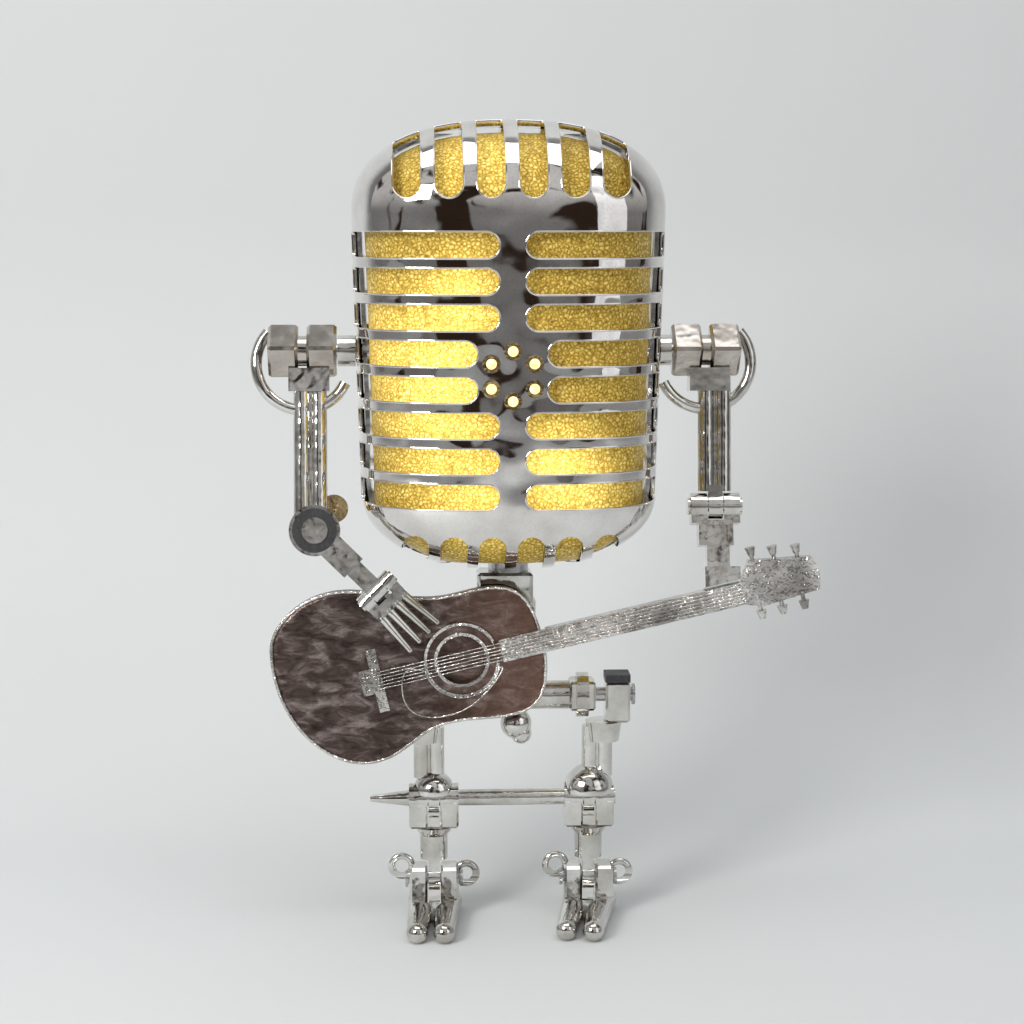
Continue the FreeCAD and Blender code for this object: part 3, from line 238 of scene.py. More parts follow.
def plastic(name, colour, roughness):
    nodes = Nodes(name)
    fine = nodes.noise(1400.0, 4.0)
    lighter = tuple(min(1.0, channel * 1.9 + 0.01) for channel in colour)
    nodes.feed(Base_Color=nodes.ramp(fine, (0.35, colour), (0.75, lighter)))
    rough = nodes.ramp(nodes.noise(240.0), (0.3, grey(roughness - 0.1)), (0.7, grey(roughness + 0.12)))
    nodes.feed(Roughness=rough)
    nodes.bump(fine, 0.25, 0.0002)
    return nodes.material


# Painted glow: where the light inside is painted as shining through most, from the figure's axis, and each
# glow's width and strength
PAINTED_GLOWS = (
    ((-14, -30, 172), 15.0, 1.5), ((-18, -30, 153), 14.0, 1.9), ((12, -30, 133), 11.0, 2.4),
    ((-8, -30, 124), 13.0, 1.8), ((-36, -20, 163), 16.0, 1.0), ((-22, -30, 137), 14.0, 1.0),
    ((-8, -22, 213), 14.0, 1.0), ((22, -28, 124), 11.0, 0.9), ((-14, -30, 181), 8.0, 1.2),
    ((10, 30, 160), 34.0, 1.2),
)
LEAST_GLOW = 0.10
# A glow falls away as this number to the power of minus the squared distance
GLOW_FALL = 2.718


def liner_material():
    """Crinkled amber film with a painted glow in place of the light from inside: fine bright flakes parted
    by darker wrinkles.
    """
    nodes = Nodes("amber_liner")
    cells = nodes.math("MINIMUM", nodes.math("MULTIPLY", nodes.cell_edges(900.0), 3.0), 1.0)
    wrinkles = nodes.noise(620.0, 7.0, 0.72, 2.4)
    crackle = nodes.math("ADD", nodes.math("MULTIPLY", cells, 0.28), nodes.math("MULTIPLY", wrinkles, 0.85))
    colour = nodes.ramp(crackle, (0.30, (0.13, 0.062, 0.006)), (0.45, (0.42, 0.245, 0.02)),
                        (0.60, (0.72, 0.50, 0.07)), (0.80, (0.98, 0.84, 0.34)))
    nodes.feed(Base_Color=colour)
    nodes.set(Roughness=0.3, Metallic=0.35)
    # Painted glow: emission that stands in for the bulb's light through the film, pooled at painted hot
    # spots and stronger on the bright flakes than in the wrinkles
    glow = LEAST_GLOW
    for (x, y, z), width, strength in PAINTED_GLOWS:
        offset = nodes.add("ShaderNodeVectorMath", operation="DISTANCE")
        nodes.link(nodes.point(), offset.inputs[0])
        offset.inputs[1].default_value = at(x, y, z)
        near = nodes.math("DIVIDE", offset.outputs["Value"], width * MM)
        power = nodes.math("MULTIPLY", nodes.math("MULTIPLY", near, near), -1.0)
        fall = nodes.math("POWER", GLOW_FALL, power)
        glow = nodes.math("ADD", nodes.math("MULTIPLY", fall, strength), glow)
    nodes.feed(Emission_Color=nodes.mix(0.45, colour, (1.0, 0.76, 0.20)))
    nodes.feed(Emission_Strength=nodes.math("MULTIPLY", glow, nodes.math("MULTIPLY", crackle, 1.15)))
    nodes.bump(crackle, 0.9, 0.0006)
    return nodes.material


def lit_glass(name, scale, dim, bright, roughness, strength):
    nodes = Nodes(name)
    tone = nodes.ramp(nodes.noise(scale), (0.3, dim), (0.7, bright))
    nodes.feed(Base_Color=tone, Emission_Color=tone)
    nodes.set(Roughness=roughness, Emission_Strength=strength)
    return nodes.material


def bronze_material():
    """Dark bronze: brown in the relief's hollows, silvery on its ridges and a plain copper to the right."""
    nodes = Nodes("guitar_bronze")
    nodes.set(Metallic=0.9)
    bark = nodes.noise(150.0, 6.0, 0.62, 0.6, (1.0, 1.0, 2.2))
    fine = nodes.noise(900.0, 5.0, 0.7)
    tone = nodes.ramp(bark, (0.34, (0.036, 0.025, 0.022)), (0.50, (0.105, 0.075, 0.067)),
                      (0.68, (0.33, 0.27, 0.255)))
    split = nodes.add("ShaderNodeSeparateXYZ")
    nodes.link(nodes.point(), split.inputs[0])
    side = nodes.math("MULTIPLY", nodes.math("ADD", split.outputs["X"], 0.032), 26.0)
    copper = nodes.ramp(fine, (0.3, (0.16, 0.085, 0.062)), (0.7, (0.26, 0.150, 0.112)))
    nodes.feed(Base_Color=nodes.mix(nodes.ramp(side, (0.0, grey(0.0)), (1.0, grey(0.9))), tone, copper))
    nodes.feed(Roughness=nodes.ramp(bark, (0.3, grey(0.42)), (0.7, grey(0.22))))
    waves = nodes.bump(bark, 0.4, 0.0008)
    nodes.bump(fine, 0.2, 0.0003, waves)
    return nodes.material


def see_through_from_behind(nodes):
    """A backdrop that shows only from its front, so that the figure can be seen from any side."""
    geometry = nodes.add("ShaderNodeNewGeometry")
    clear_shader = nodes.add("ShaderNodeBsdfTransparent")
    choice = nodes.add("ShaderNodeMixShader")
    nodes.link(geometry.outputs["Backfacing"], choice.inputs[0])
    nodes.link(nodes.shader.outputs[0], choice.inputs[1])
    nodes.link(clear_shader.outputs[0], choice.inputs[2])
    nodes.link(choice.outputs[0], nodes.output.inputs["Surface"])


# The backdrop, in metres: the floor's front edge, the wall, and the bend between them
FLOOR_FRONT = -1.6
WALL_BACK = 0.26
WALL_BEND = 0.20


def add_studio():
    """A pale floor that curves up into a backdrop, soft lamps, and a patchy room all around."""
    floor = Nodes("studio_floor")
    shade = floor.ramp(floor.noise(3.0), (0.3, (0.64, 0.66, 0.665)), (0.7, (0.66, 0.68, 0.685)))
    floor.feed(Base_Color=shade)
    floor.set(Roughness=0.8)
    see_through_from_behind(floor)
    width, high, steps = 3.0, 2.4, 32
    rows = [(FLOOR_FRONT, 0.0)]
    for step in range(steps + 1):
        turn = math.pi / 2 * step / steps
        rows.append((WALL_BACK - WALL_BEND + WALL_BEND * math.sin(turn),
                     WALL_BEND - WALL_BEND * math.cos(turn)))
    rows.append((WALL_BACK, high))
    mesh = bpy.data.meshes.new("studio_sweep")
    points = [(side * width, y, z) for y, z in rows for side in (-1, 1)]
    faces = [(2 * i, 2 * i + 1, 2 * i + 3, 2 * i + 2) for i in range(len(rows) - 1)]
    mesh.from_pydata(points, [], faces)
    mesh.shade_smooth()
    sweep = bpy.data.objects.new("studio_sweep", mesh)
    bpy.context.collection.objects.link(sweep)
    sweep.data.materials.append(floor.material)
    add_room()
    middle = at(0, 0, 110)
    add_lamp("key_lamp", at(-480, -600, 470), middle, (0.26, 0.26), 4.5, (1.0, 0.985, 0.96))
    add_lamp("fill_lamp", at(560, -560, 420), middle, (0.4, 0.7), 0.7, (0.95, 0.97, 1.0))
    add_lamp("top_lamp", at(0, -120, 900), middle, (0.8, 0.5), 2.5, (0.98, 0.99, 1.0))


def add_room():
    """The world: a pale ceiling and floor, a dark band at eye height, and brown patches for the chrome."""
    world = bpy.context.scene.world or bpy.data.worlds.new("studio")
    bpy.context.scene.world = world
    world.use_nodes = True
    tree = world.node_tree
    tree.nodes.clear()
    output = tree.nodes.new("ShaderNodeOutputWorld")
    background = tree.nodes.new("ShaderNodeBackground")
    coordinate = tree.nodes.new("ShaderNodeTexCoord")
    split = tree.nodes.new("ShaderNodeSeparateXYZ")
    ramp = tree.nodes.new("ShaderNodeValToRGB")
    for place, level in ((0.30, 0.60), (0.44, 0.22), (0.52, 0.34), (0.66, 0.9), (1.0, 1.0)):
        element = ramp.color_ramp.elements.new(place)
        element.color = (level, level * 0.985, level * 0.97, 1.0)
    ramp.color_ramp.elements.remove(ramp.color_ramp.elements[0])
    half = tree.nodes.new("ShaderNodeMath")
    half.operation = "MULTIPLY_ADD"
    half.inputs[1].default_value = 0.5
    half.inputs[2].default_value = 0.5
    clouds = tree.nodes.new("ShaderNodeTexNoise")
    clouds.inputs["Scale"].default_value = 2.3
    clouds.inputs["Detail"].default_value = 2.0
    clouds.inputs["Distortion"].default_value = 0.8
    patches = tree.nodes.new("ShaderNodeValToRGB")
    patches.color_ramp.elements[0].position = 0.43
    patches.color_ramp.elements[1].position = 0.50
    blend = tree.nodes.new("ShaderNodeMix")
    blend.data_type = "RGBA"
    blend.inputs[6].default_value = (0.045, 0.028, 0.020, 1.0)
    tree.links.new(coordinate.outputs["Generated"], split.inputs[0])
    tree.links.new(split.outputs["Z"], half.inputs[0])
    tree.links.new(half.outputs[0], ramp.inputs["Fac"])
    tree.links.new(coordinate.outputs["Generated"], clouds.inputs["Vector"])
    tree.links.new(clouds.outputs["Fac"], patches.inputs["Fac"])
    tree.links.new(patches.outputs["Color"], blend.inputs[0])
    tree.links.new(ramp.outputs["Color"], blend.inputs[7])
    tree.links.new(blend.outputs[2], background.inputs["Color"])
    background.inputs["Strength"].default_value = 0.62
    tree.links.new(background.outputs[0], output.inputs["Surface"])


# The head's surface, as the part is built: superellipse plans, shrunk towards the dome and the foot
HEAD = dict(top=225.0, wide=200.0, narrow=122.0, foot=102.8, curl=101.0, half_x=43.0, half_x_low=40.7,
            half_y=31.0, wall=1.6)
PLAN_POWER, DOME_POWER, FOOT_POWER = 2.8, 2.3, 2.0
LIP = 0.5
# How finely the sheet's lengths are measured, and the middling half sizes that they are measured with
PLAN_SAMPLES, WALL_SAMPLES, DOME_SAMPLES = 4001, 1200, 2400
MEAN_HALF_X, MEAN_REACH = 42.0, 36.0
# The heights measured crowd towards the dome's top by this power
DOME_CROWDING = 2.2


class HeadSurface:
    """Maps a flat sheet (along, up), both in millimetres, onto half of the head, front at -Y."""

    def __init__(self, inset=0.0):
        self.inset = inset
        turn = np.linspace(0, math.pi, PLAN_SAMPLES)
        across = np.sign(np.cos(turn)) * np.abs(np.cos(turn)) ** (2 / PLAN_POWER)
        deep = np.abs(np.sin(turn)) ** (2 / PLAN_POWER)
        order = slice(None, None, -1)
        self.across, self.deep = across[order], deep[order]
        step = np.hypot(np.diff(self.across) * MEAN_HALF_X, np.diff(self.deep) * HEAD["half_y"])
        self.along = np.concatenate([[0], np.cumsum(step)])
        self.along -= self.along[-1] / 2
        wall = np.linspace(HEAD["foot"], HEAD["wide"], WALL_SAMPLES)
        below_top = np.linspace(1, 0, DOME_SAMPLES)[1:] ** DOME_CROWDING
        dome = HEAD["top"] - (HEAD["top"] - HEAD["wide"]) * below_top
        self.height = np.concatenate([wall, dome])
        shrink = np.array([self.shrink(z) for z in self.height])
        rise = np.hypot(np.diff(self.height), np.diff(shrink) * MEAN_REACH)
        self.up = np.concatenate([[0], np.cumsum(rise)])

    def shrink(self, z):
        if z > HEAD["wide"]:
            step = (z - HEAD["wide"]) / (HEAD["top"] - self.inset - HEAD["wide"])
            return max(0.0, 1 - min(step, 1.0) ** DOME_POWER) ** (1 / DOME_POWER)
        if z < HEAD["narrow"]:
            step = (HEAD["narrow"] - z) / (HEAD["narrow"] - HEAD["curl"])
            return max(0.0, 1 - min(step, 1.0) ** FOOT_POWER) ** (1 / FOOT_POWER)
        return 1.0

    def half_width(self, z):
        rise = min(max((z - HEAD["narrow"]) / (HEAD["wide"] - HEAD["narrow"]), 0.0), 1.0)
        return HEAD["half_x_low"] + rise * (HEAD["half_x"] - HEAD["half_x_low"]) - self.inset

    def place(self, along, up):
        z = float(np.interp(up, self.up, self.height))
        shrink = self.shrink(z)
        x = float(np.interp(along, self.along, self.across)) * self.half_width(z) * shrink
        y = -float(np.interp(along, self.along, self.deep)) * (HEAD["half_y"] - self.inset) * shrink
        return Vector((x, y, z))

    def normal(self, along, up):
        """The outward normal, from the plan's gradient and the wall's slope."""
        point = self.place(along, up)
        step = 0.02
        z = min(max(point.z, HEAD["foot"] + step), HEAD["top"] - self.inset - 3 * step)

        def level(x, y, z):
            shrink = max(self.shrink(z), 1e-4)
            wide, deep = self.half_width(z) * shrink, (HEAD["half_y"] - self.inset) * shrink
            return (abs(x / wide) ** PLAN_POWER + abs(y / deep) ** PLAN_POWER) ** (1 / PLAN_POWER)

        x, y = point.x, point.y
        gradient = Vector((level(x + step, y, z) - level(x - step, y, z),
                           level(x, y + step, z) - level(x, y - step, z),
                           level(x, y, z + step) - level(x, y, z - step)))
        return gradient.normalized()

    def from_front(self, x, z):
        """The sheet's place of the front point at this x and height."""
        shrink = self.shrink(z)
        ratio = x / (self.half_width(z) * shrink)
        return float(np.interp(ratio, self.across, self.along)), float(np.interp(z, self.height, self.up))

    def from_plan(self, x, depth):
        """The sheet's place of the dome's point at this x and depth."""
        wide, deep = HEAD["half_x"] - self.inset, HEAD["half_y"] - self.inset
        shrink = (abs(x / wide) ** PLAN_POWER + abs(depth / deep) ** PLAN_POWER) ** (1 / PLAN_POWER)
        step = max(0.0, 1 - shrink ** DOME_POWER) ** (1 / DOME_POWER)
        z = HEAD["wide"] + step * (HEAD["top"] - self.inset - HEAD["wide"])
        return self.from_front(x, min(z, HEAD["top"] - self.inset - 0.01))

    def side_limit(self, depth):
        """How far along the sheet reaches where it is this deep, at full size."""
        ratio = depth / HEAD["half_y"]
        side = self.across > 0
        return float(np.interp(-ratio, -self.deep[side], self.along[side]))


# The rows of slots: their levels, and how far from the middle they start, further beside the ring of studs
ROW_TOP, ROW_PITCH, ROW_COUNT, ROW_HALF = 191.4, 9.5, 8, 3.3
SLOT_START, RING_SLOT_START, RING_ROWS = 3.6, 9.4, (3, 4)
SEAM_RIM = 2.4
# The slots up the dome, which end at a ridge on either side of the seam, and the arches along the foot;
# the points up a dome slot's sides crowd towards the ridge by a power
DOME_SLOTS, DOME_SLOT_PITCH, DOME_SLOT_RADIUS, DOME_SLOT_FOOT = 6, 11.1, 3.6, 203.8
DOME_RIDGE, SLOT_CROWDING = 7.0, 1.7
ARCHES, ARCH_PITCH, ARCH_RADIUS, ARCH_TOP = 6, 10.4, 3.2, 113.3
# The bores: a ring of studs in front, and the cord's inlet behind
STUD_COUNT, STUD_RING, STUD_LEVEL, STUD_RADIUS = 6, 6.6, 157.1, 1.45
INLET, INLET_RADIUS = (0.0, 117.4), 4.0
# How far apart an outline's points stand: along a slot, across its end, and along the foot and the seam
LONG_STEP, SHORT_STEP, FOOT_STEP, SEAM_STEP = 1.6, 1.4, 1.0, 1.5
# How far the sheet stops short of the dome's very top
TOP_GAP = 0.25


def centred(count, pitch):
    """Evenly pitched places, to both sides of the middle."""
    return [(place - (count - 1) / 2) * pitch for place in range(count)]


def arc(centre, radius, start, end, count):
    return [(centre[0] + radius * math.cos(math.radians(start + (end - start) * step / count)),
             centre[1] + radius * math.sin(math.radians(start + (end - start) * step / count)))
            for step in range(count + 1)]


def spread(first, second, spacing):
    """Points along a straight line, without its ends."""
    count = max(1, int(math.dist(first, second) / spacing))
    return [tuple(a + (b - a) * step / count for a, b in zip(first, second)) for step in range(1, count)]


def slot_side(surface, x, foot, steps=16):
    """A dome slot's straight side from its foot up, with points that crowd towards the ridge."""
    ridge = surface.from_plan(x, DOME_RIDGE + LIP)
    rise = float(np.interp(ridge[1], surface.up, surface.height)) - foot
    return [surface.from_front(x, foot + rise * (1 - (1 - step / steps) ** SLOT_CROWDING))
            for step in range(1, steps)]


def head_holes(surface, rear):
    """The outlines of every slot and bore, on the sheet, grown by the lip's width."""
    outlines = []
    radius = ROW_HALF + LIP
    limit = surface.side_limit(SEAM_RIM + LIP)
    for row in range(ROW_COUNT):
        level = ROW_TOP - ROW_PITCH * row
        start = (RING_SLOT_START if row in RING_ROWS else SLOT_START) + radius - LIP
        end = arc((start, level), radius, 90, 270, 18)
        for side in (-1, 1):
            round_end = [surface.from_front(side * x, z) for x, z in end]
            low, high = round_end[-1], round_end[0]
            far_low, far_high = (side * limit, low[1]), (side * limit, high[1])
            loop = round_end + spread(low, far_low, LONG_STEP) + [far_low]
            loop += spread(far_low, far_high, SHORT_STEP) + [far_high] + spread(far_high, high, LONG_STEP)
            outlines.append(loop)
    radius = DOME_SLOT_RADIUS + LIP
    foot = DOME_SLOT_FOOT + DOME_SLOT_RADIUS
    for centre in centred(DOME_SLOTS, DOME_SLOT_PITCH):
        loop = [surface.from_front(x, z) for x, z in arc((centre, foot), radius, 180, 360, 18)]
        loop += slot_side(surface, centre + radius, foot)
        loop += [surface.from_plan(centre + radius - 2 * radius * step / 8, DOME_RIDGE + LIP)
                 for step in range(9)]
        outlines.append(loop + slot_side(surface, centre - radius, foot)[::-1])
    bores = [(INLET, INLET_RADIUS)]
    if not rear:
        ring = arc((0.0, STUD_LEVEL), STUD_RING, 90, 450, STUD_COUNT)[:-1]
        bores = [(stud, STUD_RADIUS) for stud in ring]
    for middle, radius in bores:
        outlines.append([surface.from_front(*point) for point in arc(middle, radius + LIP, 0, 345, 23)])
    return outlines


def shell_edge(surface):
    """The sheet's outer outline: along the foot and its arches, up one seam, over the dome and down."""
    left, right = surface.along[0], surface.along[-1]
    top = surface.up[-1] - TOP_GAP
    radius = ARCH_RADIUS + LIP
    spring = ARCH_TOP - ARCH_RADIUS
    loop = [(left, 0.0)]
    for centre in centred(ARCHES, ARCH_PITCH):
        rise = [(centre - radius, z) for z in np.linspace(HEAD["foot"], spring, 6)[:-1]]
        fall = [(centre + radius, z) for z in np.linspace(spring, HEAD["foot"], 6)[1:]]
        arch = arc((centre, spring), radius, 180, 0, 14)
        path = [surface.from_front(x, z) for x, z in rise + arch + fall]
        loop += spread(loop[-1], path[0], FOOT_STEP) + path
    for corner, step in (((right, 0.0), FOOT_STEP), ((right, top), SEAM_STEP), ((left, top), SEAM_STEP)):
        loop += spread(loop[-1], corner, step) + [corner]
    return loop + spread((left, top), (left, 0.0), SEAM_STEP)


# A rolled lip's section, from the sheet's edge: how far into the opening, and how far out of the sheet
LIP_PROFILE = ((0.10, 0.10), (0.26, 0.17), (0.42, 0.10), (0.50, -0.08), (0.50, -0.45))
# The spacing of the sheet's inner points, how far they start and stop within it, and their least room
SHEET_STEP, SHEET_START, SHEET_STOP, SHEET_ROOM = 1.7, 1.2, 1.0, 0.75


def triangulate(edge, holes, across, along, room):
    """A flat sheet with holes: its points, its triangles and each outline's points in turn."""
    points, constraints, loops = [], [], []
    for outline in [edge] + holes:
        first, count = len(points), len(outline)
        points += [Vector(p) for p in outline]
        constraints += [(first + i, first + (i + 1) % count) for i in range(count)]
        loops.append(range(first, first + count))
    border, *openings = [np.array(outline) for outline in [edge] + holes]

    def on_sheet(point):
        return inside(point, border) and not any(inside(point, opening) for opening in openings)

    for first in across:
        for second in along:
            if on_sheet((first, second)) and clear((first, second), [border] + openings, room):
                points.append(Vector((first, second)))
    flat, _, triangles, origins, _, _ = delaunay_2d_cdt(points, constraints, [], 0, 1e-5)
    index_of = {item: new for new, old in enumerate(origins) for item in old}
    kept = [tuple(t) for t in triangles if on_sheet(sum((flat[i] for i in t), Vector((0, 0))) / 3)]
    return flat, kept, [[index_of[i] for i in loop] for loop in loops]


def build_shell(name, rear):
    """One shell as a closed mesh: an outer sheet with raised rolled lips, an inner sheet and walls."""
    surface = HeadSurface()
    across = np.arange(surface.along[0] + SHEET_START, surface.along[-1] - SHEET_STOP, SHEET_STEP)
    ups = np.arange(SHEET_START, surface.up[-1] - SHEET_STOP, SHEET_STEP)
    flat, kept, loops = triangulate(shell_edge(surface), head_holes(surface, rear), across, ups, SHEET_ROOM)
    outer = [surface.place(p.x, p.y) for p in flat]
    normals = [surface.normal(p.x, p.y) for p in flat]
    verts = list(outer)
    hints = list(normals)
    inner_start = len(verts)
    verts += [p - n * HEAD["wall"] for p, n in zip(outer, normals)]
    hints += [-n for n in normals]
    faces = kept + [tuple(inner_start + i for i in reversed(t)) for t in kept]
    for number, ring in enumerate(loops):
        rings = [ring]
        if number > 0:
            outline = [outer[i] for i in ring]
            centre = sum(outline, Vector()) / len(outline)
            sideways = []
            for i in range(len(ring)):
                tangent = (outline[(i + 1) % len(ring)] - outline[i - 1]).normalized()
                sideways.append(normals[ring[i]].cross(tangent).normalized())
            flip = sum(1 if d.dot(centre - p) > 0 else -1 for d, p in zip(sideways, outline)) < 0
            for inward, height in LIP_PROFILE:
                first = len(verts)
                for i, point in enumerate(outline):
                    direction = -sideways[i] if flip else sideways[i]
                    verts.append(point + direction * inward + normals[ring[i]] * height)
                    hints.append(None)
                rings.append(list(range(first, first + len(ring))))
        rings.append([inner_start + i for i in ring])
        for low, high in zip(rings, rings[1:]):
            for i in range(len(ring)):
                j = (i + 1) % len(ring)
                faces.append((low[j], low[i], high[i], high[j]))
    return shell_object(name, verts, faces, hints, rear)


def inside(point, polygon):
    x, y = point[0], point[1]
    px, py = polygon[:, 0], polygon[:, 1]
    qx, qy = np.roll(px, -1), np.roll(py, -1)
    crossing = (py > y) != (qy > y)
    with np.errstate(divide="ignore", invalid="ignore"):
        cut = (qx - px) * (y - py) / (qy - py) + px
    return bool(np.count_nonzero(crossing & (x < cut)) % 2)


def clear(point, polygons, room):
    return all(np.min(np.hypot(p[:, 0] - point[0], p[:, 1] - point[1])) > room for p in polygons)


def shell_object(name, verts, faces, hints, rear):
    mesh = bpy.data.meshes.new(name)
    turn = -1 if rear else 1
    mesh.from_pydata([at(v.x, v.y * turn, v.z) for v in verts], [], faces)
    mesh.update()
    outward(mesh)
    mesh.validate()
    mesh.shade_smooth()
    smooth = []
    for vertex, hint in zip(mesh.vertices, hints):
        smooth.append(vertex.normal.copy() if hint is None else Vector((hint.x, hint.y * turn, hint.z)))
    mesh.normals_split_custom_set_from_vertices(smooth)
    return link(name, mesh)


def outward(mesh):
    """Turn every face of a closed mesh outward."""
    fix = bmesh.new()
    fix.from_mesh(mesh)
    bmesh.ops.recalc_face_normals(fix, faces=fix.faces)
    fix.to_mesh(mesh)
    fix.free()


def link(name, mesh):
    piece = bpy.data.objects.new(name, mesh)
    bpy.context.collection.objects.link(piece)
    return piece


def smooth_object(name, verts, faces):
    mesh = bpy.data.meshes.new(name)
    mesh.from_pydata(verts, [], faces)
    mesh.update()
    mesh.shade_smooth()
    return link(name, mesh)


def paint(piece, slot):
    piece.data.materials.clear()
    piece.data.materials.append(MATERIALS[slot])


def dress(piece, slot, body):
    paint(piece, slot)
    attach(piece, body)


# The amber film: how far it stands inside the head's surface, its foot and top, and its thickness
FILM_INSET, FILM_FOOT, FILM_TOP_GAP, FILM_THICKNESS = 3.4, 104.6, 0.3, 0.5
FILM_ROWS, FILM_COLUMNS = 90, 110
# How far its ripples rise, how closely they follow each other, and how far they all sit inwards
RIPPLE_RISE, RIPPLE_SCALE, RIPPLE_SINK = 0.25, 0.25, 0.2


def build_liner():
    """The crackled film as one closed skin, gently uneven."""
    surface = HeadSurface(FILM_INSET)
    ups = np.linspace(surface.from_front(0, FILM_FOOT)[1], surface.up[-1] - FILM_TOP_GAP, FILM_ROWS)
    alongs = np.linspace(surface.along[0], surface.along[-1], FILM_COLUMNS)
    verts, faces = [], []
    for drop in (0.0, FILM_THICKNESS):
        for up in ups:
            for turn in (1, -1):
                for along in (alongs if turn > 0 else alongs[::-1])[:-1]:
                    p = surface.place(along, up)
                    n = surface.normal(along, up)
                    wave = noise.noise(Vector((p.x, p.y * turn, p.z)) * RIPPLE_SCALE)
                    q = p + n * (RIPPLE_RISE * wave - RIPPLE_SINK - drop)
                    verts.append(at(q.x, q.y * turn, q.z))
    around = 2 * (len(alongs) - 1)
    inner = FILM_ROWS * around
    for layer in range(2):
        base = layer * inner
        for row in range(FILM_ROWS - 1):
            for i in range(around):
                j = (i + 1) % around
                quad = (base + row * around + i, base + row * around + j,
                        base + (row + 1) * around + j, base + (row + 1) * around + i)
                faces.append(quad if layer == 0 else quad[::-1])
        top = tuple(base + (FILM_ROWS - 1) * around + i for i in range(around))
        faces.append(top if layer == 0 else top[::-1])
    for i in range(around):
        j = (i + 1) % around
        faces.append((j, i, inner + i, inner + j))
    piece = smooth_object("amber_film", verts, faces)
    dress(piece, "amber_liner", "head")
    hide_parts("head_liner")


# The guitar's front: its binding, and a hammered sheet whose relief fades out to the right
GUITAR_AXIS = (-13.3, 77.0)
NECK_ANGLE = math.radians(13.1)
FRONT_Y = -11.0
# The neck's pocket in the body's edge: from how far along the neck, and its half width
POCKET_START, POCKET_HALF = 20.0, 3.4
# Each bead's radius, its points' spacing, and how far its middle stands behind the front
BINDING_RADIUS, BINDING_STEP, BINDING_SINK = 0.45, 0.9, 0.1
GUARD_BEAD_RADIUS, GUARD_BEAD_STEP, GUARD_BEAD_SINK = 0.28, 0.7, -0.25
# The hammered sheet: its points' spacing, its reach as a share of the outline, and the rosette's room
RELIEF_STEP = 0.75
RELIEF_REACH = 0.988
ROSETTE_ROOM = 10.7
# How far the sheet's rim and its lowest hammering stand off the front, how much the rest rises above that,
# and how far behind the front its rear face lies
RIM_RISE, RELIEF_BASE, RELIEF_RISE, SHEET_BACK = 0.04, 0.10, 0.26, 0.2
# The relief grows leftwards from one place over a width, and keeps a least share of itself elsewhere
FADE_START, FADE_WIDTH, FADE_LEAST = -24.0, 14.0, 0.12


def front_outline(node):
    """A flat piece's outer edge as (x, z) in millimetres, without the neck's pocket."""
    mesh = frame["nodes"][node].data
    places = [(v.co - SHIFT) / MM for v in mesh.vertices]
    level = min(p.y for p in places)
    key = {}
    name = [key.setdefault((round(p.x, 3), round(p.z, 3)), len(key)) for p in places]
    spots = list(key)
    count = {}
    for polygon in mesh.polygons:
        corners = polygon.vertices
        if all(places[i].y < level + 0.01 for i in corners):
            for i, j in zip(corners, list(corners[1:]) + [corners[0]]):
                edge = tuple(sorted((name[i], name[j])))
                count[edge] = count.get(edge, 0) + 1
    beside = {}
    for (i, j), times in count.items():
        if times == 1 and i != j:
            beside.setdefault(i, []).append(j)
            beside.setdefault(j, []).append(i)
    loops = []
    left = set(beside)
    while left:
        start = min(left)
        loop, last, now = [start], None, start
        while True:
            onward = [n for n in beside[now] if n != last and (n in left or n == start)]
            left.discard(now)
            if not onward or onward[0] == start and len(loop) > 2:
                break
            last, now = now, onward[0]
            loop.append(now)
        loops.append([spots[n] for n in loop])
    outline = max(loops, key=len)
    kept = []
    for x, z in outline:
        u = (x - GUITAR_AXIS[0]) * math.cos(NECK_ANGLE) + (z - GUITAR_AXIS[1]) * math.sin(NECK_ANGLE)
        v = (z - GUITAR_AXIS[1]) * math.cos(NECK_ANGLE) - (x - GUITAR_AXIS[0]) * math.sin(NECK_ANGLE)
        if not (u > POCKET_START and abs(v) < POCKET_HALF):
            kept.append((x, z))
    return kept


def resample(outline, spacing):
    """The same closed line with evenly spaced points."""
    line = np.array(outline + [outline[0]])
    run = np.concatenate([[0], np.cumsum(np.hypot(*np.diff(line, axis=0).T))])
    stops = np.linspace(0, run[-1], int(run[-1] / spacing), endpoint=False)
    return list(zip(np.interp(stops, run, line[:, 0]), np.interp(stops, run, line[:, 1])))


def closed_tube(name, path, radius, sides=10):
    """A round bead along a closed path of points in millimetres."""
    verts, faces = [], []
    count = len(path)
    for i, point in enumerate(path):
        tangent = (path[(i + 1) % count] - path[i - 1]).normalized()
        out = tangent.cross(Vector((0, 1, 0))).normalized()
        for side in range(sides):
            turn = 2 * math.pi * side / sides
            beside = point + out * radius * math.cos(turn)
            verts.append(at(*(beside + Vector((0, radius * math.sin(turn), 0)))))
    for i in range(count):
        for side in range(sides):
            low, high = i * sides, (i + 1) % count * sides
            other = (side + 1) % sides
            faces.append((low + side, high + side, high + other, low + other))
    return smooth_object(name, verts, faces)


def relief_height(x, z):
    """Bark ridges that run mostly across the body, strongest on the left."""
    place = Vector((x * 0.16, 0.0, z * 0.38))
    ridges = noise.noise(place + Vector((3, 0, 7)))
    ridges = ridges + 0.6 * noise.noise(place * 2.3) + 0.35 * noise.noise(place * 5.1)
    fade = min(max((FADE_START - x) / FADE_WIDTH, FADE_LEAST), 1.0)
    return RELIEF_BASE + fade * RELIEF_RISE * min(max(0.5 + ridges, 0.0), 1.0)


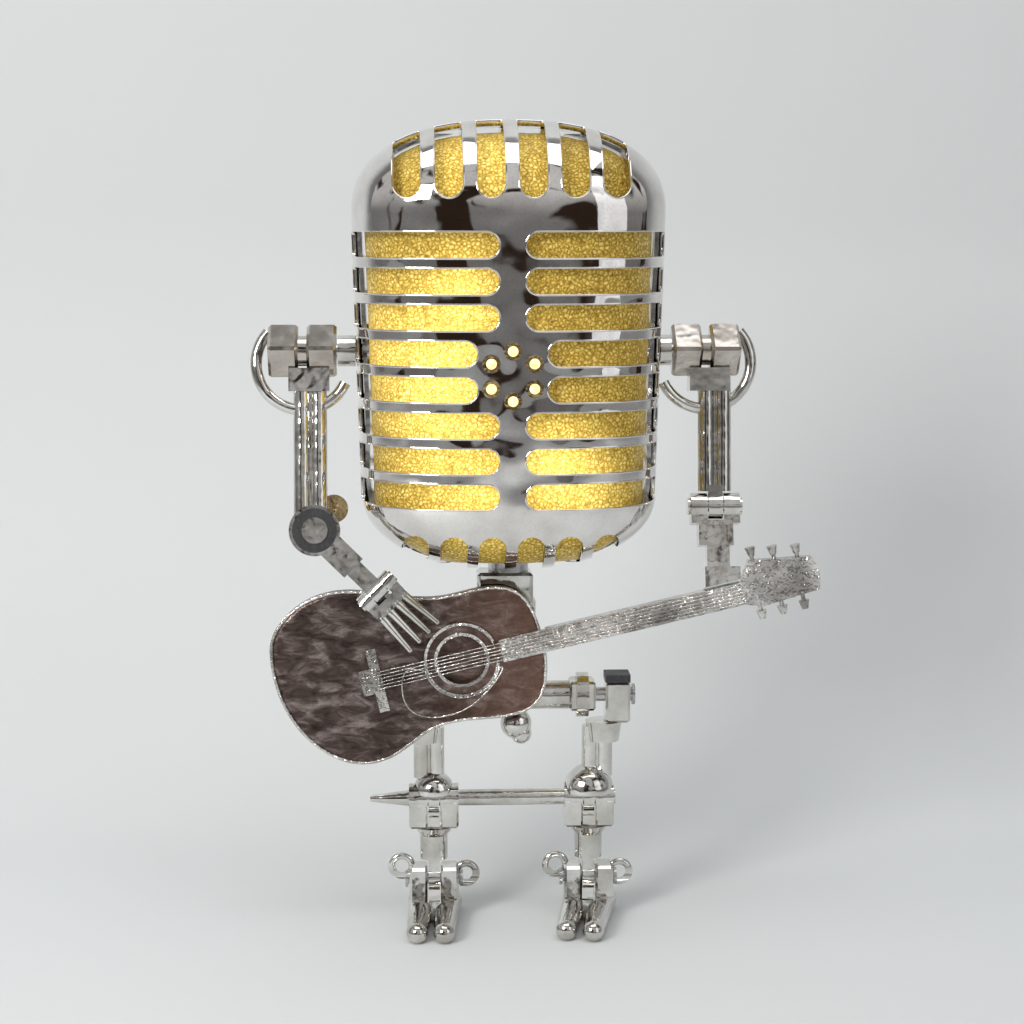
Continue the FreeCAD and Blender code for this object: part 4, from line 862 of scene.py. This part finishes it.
def build_guitar_front():
    outline = resample(front_outline("guitar_soundboard"), BINDING_STEP)
    guard = resample(front_outline("guitar_pickguard"), GUARD_BEAD_STEP)
    for name, line, sink, radius in (("guitar_binding", outline, BINDING_SINK, BINDING_RADIUS),
                                     ("guard_binding", guard, GUARD_BEAD_SINK, GUARD_BEAD_RADIUS)):
        bead = closed_tube(name, [Vector((x, FRONT_Y + sink, z)) for x, z in line], radius)
        dress(bead, "guitar_chrome", "torso")
    middle = np.mean(np.array(outline), axis=0)
    edge = [tuple(middle + (np.array(p) - middle) * RELIEF_REACH) for p in outline]
    low, high = np.min(edge, axis=0), np.max(edge, axis=0)
    across, ups = (np.arange(low[axis], high[axis], RELIEF_STEP) for axis in range(2))
    rosette = arc(GUITAR_AXIS, ROSETTE_ROOM, 0, 350, 35)
    flat, kept, loops = triangulate(edge, [rosette], across, ups, RELIEF_STEP * 0.5)
    rim = {i for ring in loops for i in ring}
    verts = [at(p.x, FRONT_Y - (RIM_RISE if i in rim else relief_height(p.x, p.y)), p.y)
             for i, p in enumerate(flat)]
    total = len(verts)
    verts += [at(p.x, FRONT_Y + SHEET_BACK, p.y) for p in flat]
    faces = kept + [tuple(total + i for i in reversed(t)) for t in kept]
    for ring in loops:
        for i, j in zip(ring, ring[1:] + ring[:1]):
            faces.append((i, j, total + j, total + i))
    mesh = bpy.data.meshes.new("guitar_relief")
    mesh.from_pydata(verts, [], faces)
    mesh.validate()
    outward(mesh)
    mesh.shade_smooth()
    sheet = link("guitar_relief", mesh)
    dress(sheet, "guitar_bronze", "torso")


def dress_cad():
    slot_of = {item["node"]: item["material_slot"] for item in frame["record"]["subparts"]}
    for node, piece in frame["nodes"].items():
        paint(piece, slot_of[node])


add_camera()
MATERIALS = make_materials()
add_studio()
dress_cad()
for shell_name, shell_node, is_rear in (("front_grille", "head_front_shell", False),
                                        ("rear_grille", "head_rear_shell", True)):
    shell = build_shell(shell_name, is_rear)
    dress(shell, "polished_shell", "head")
    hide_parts(shell_node)
build_liner()
build_guitar_front()

bpy.context.scene.view_settings.view_transform = "Standard"
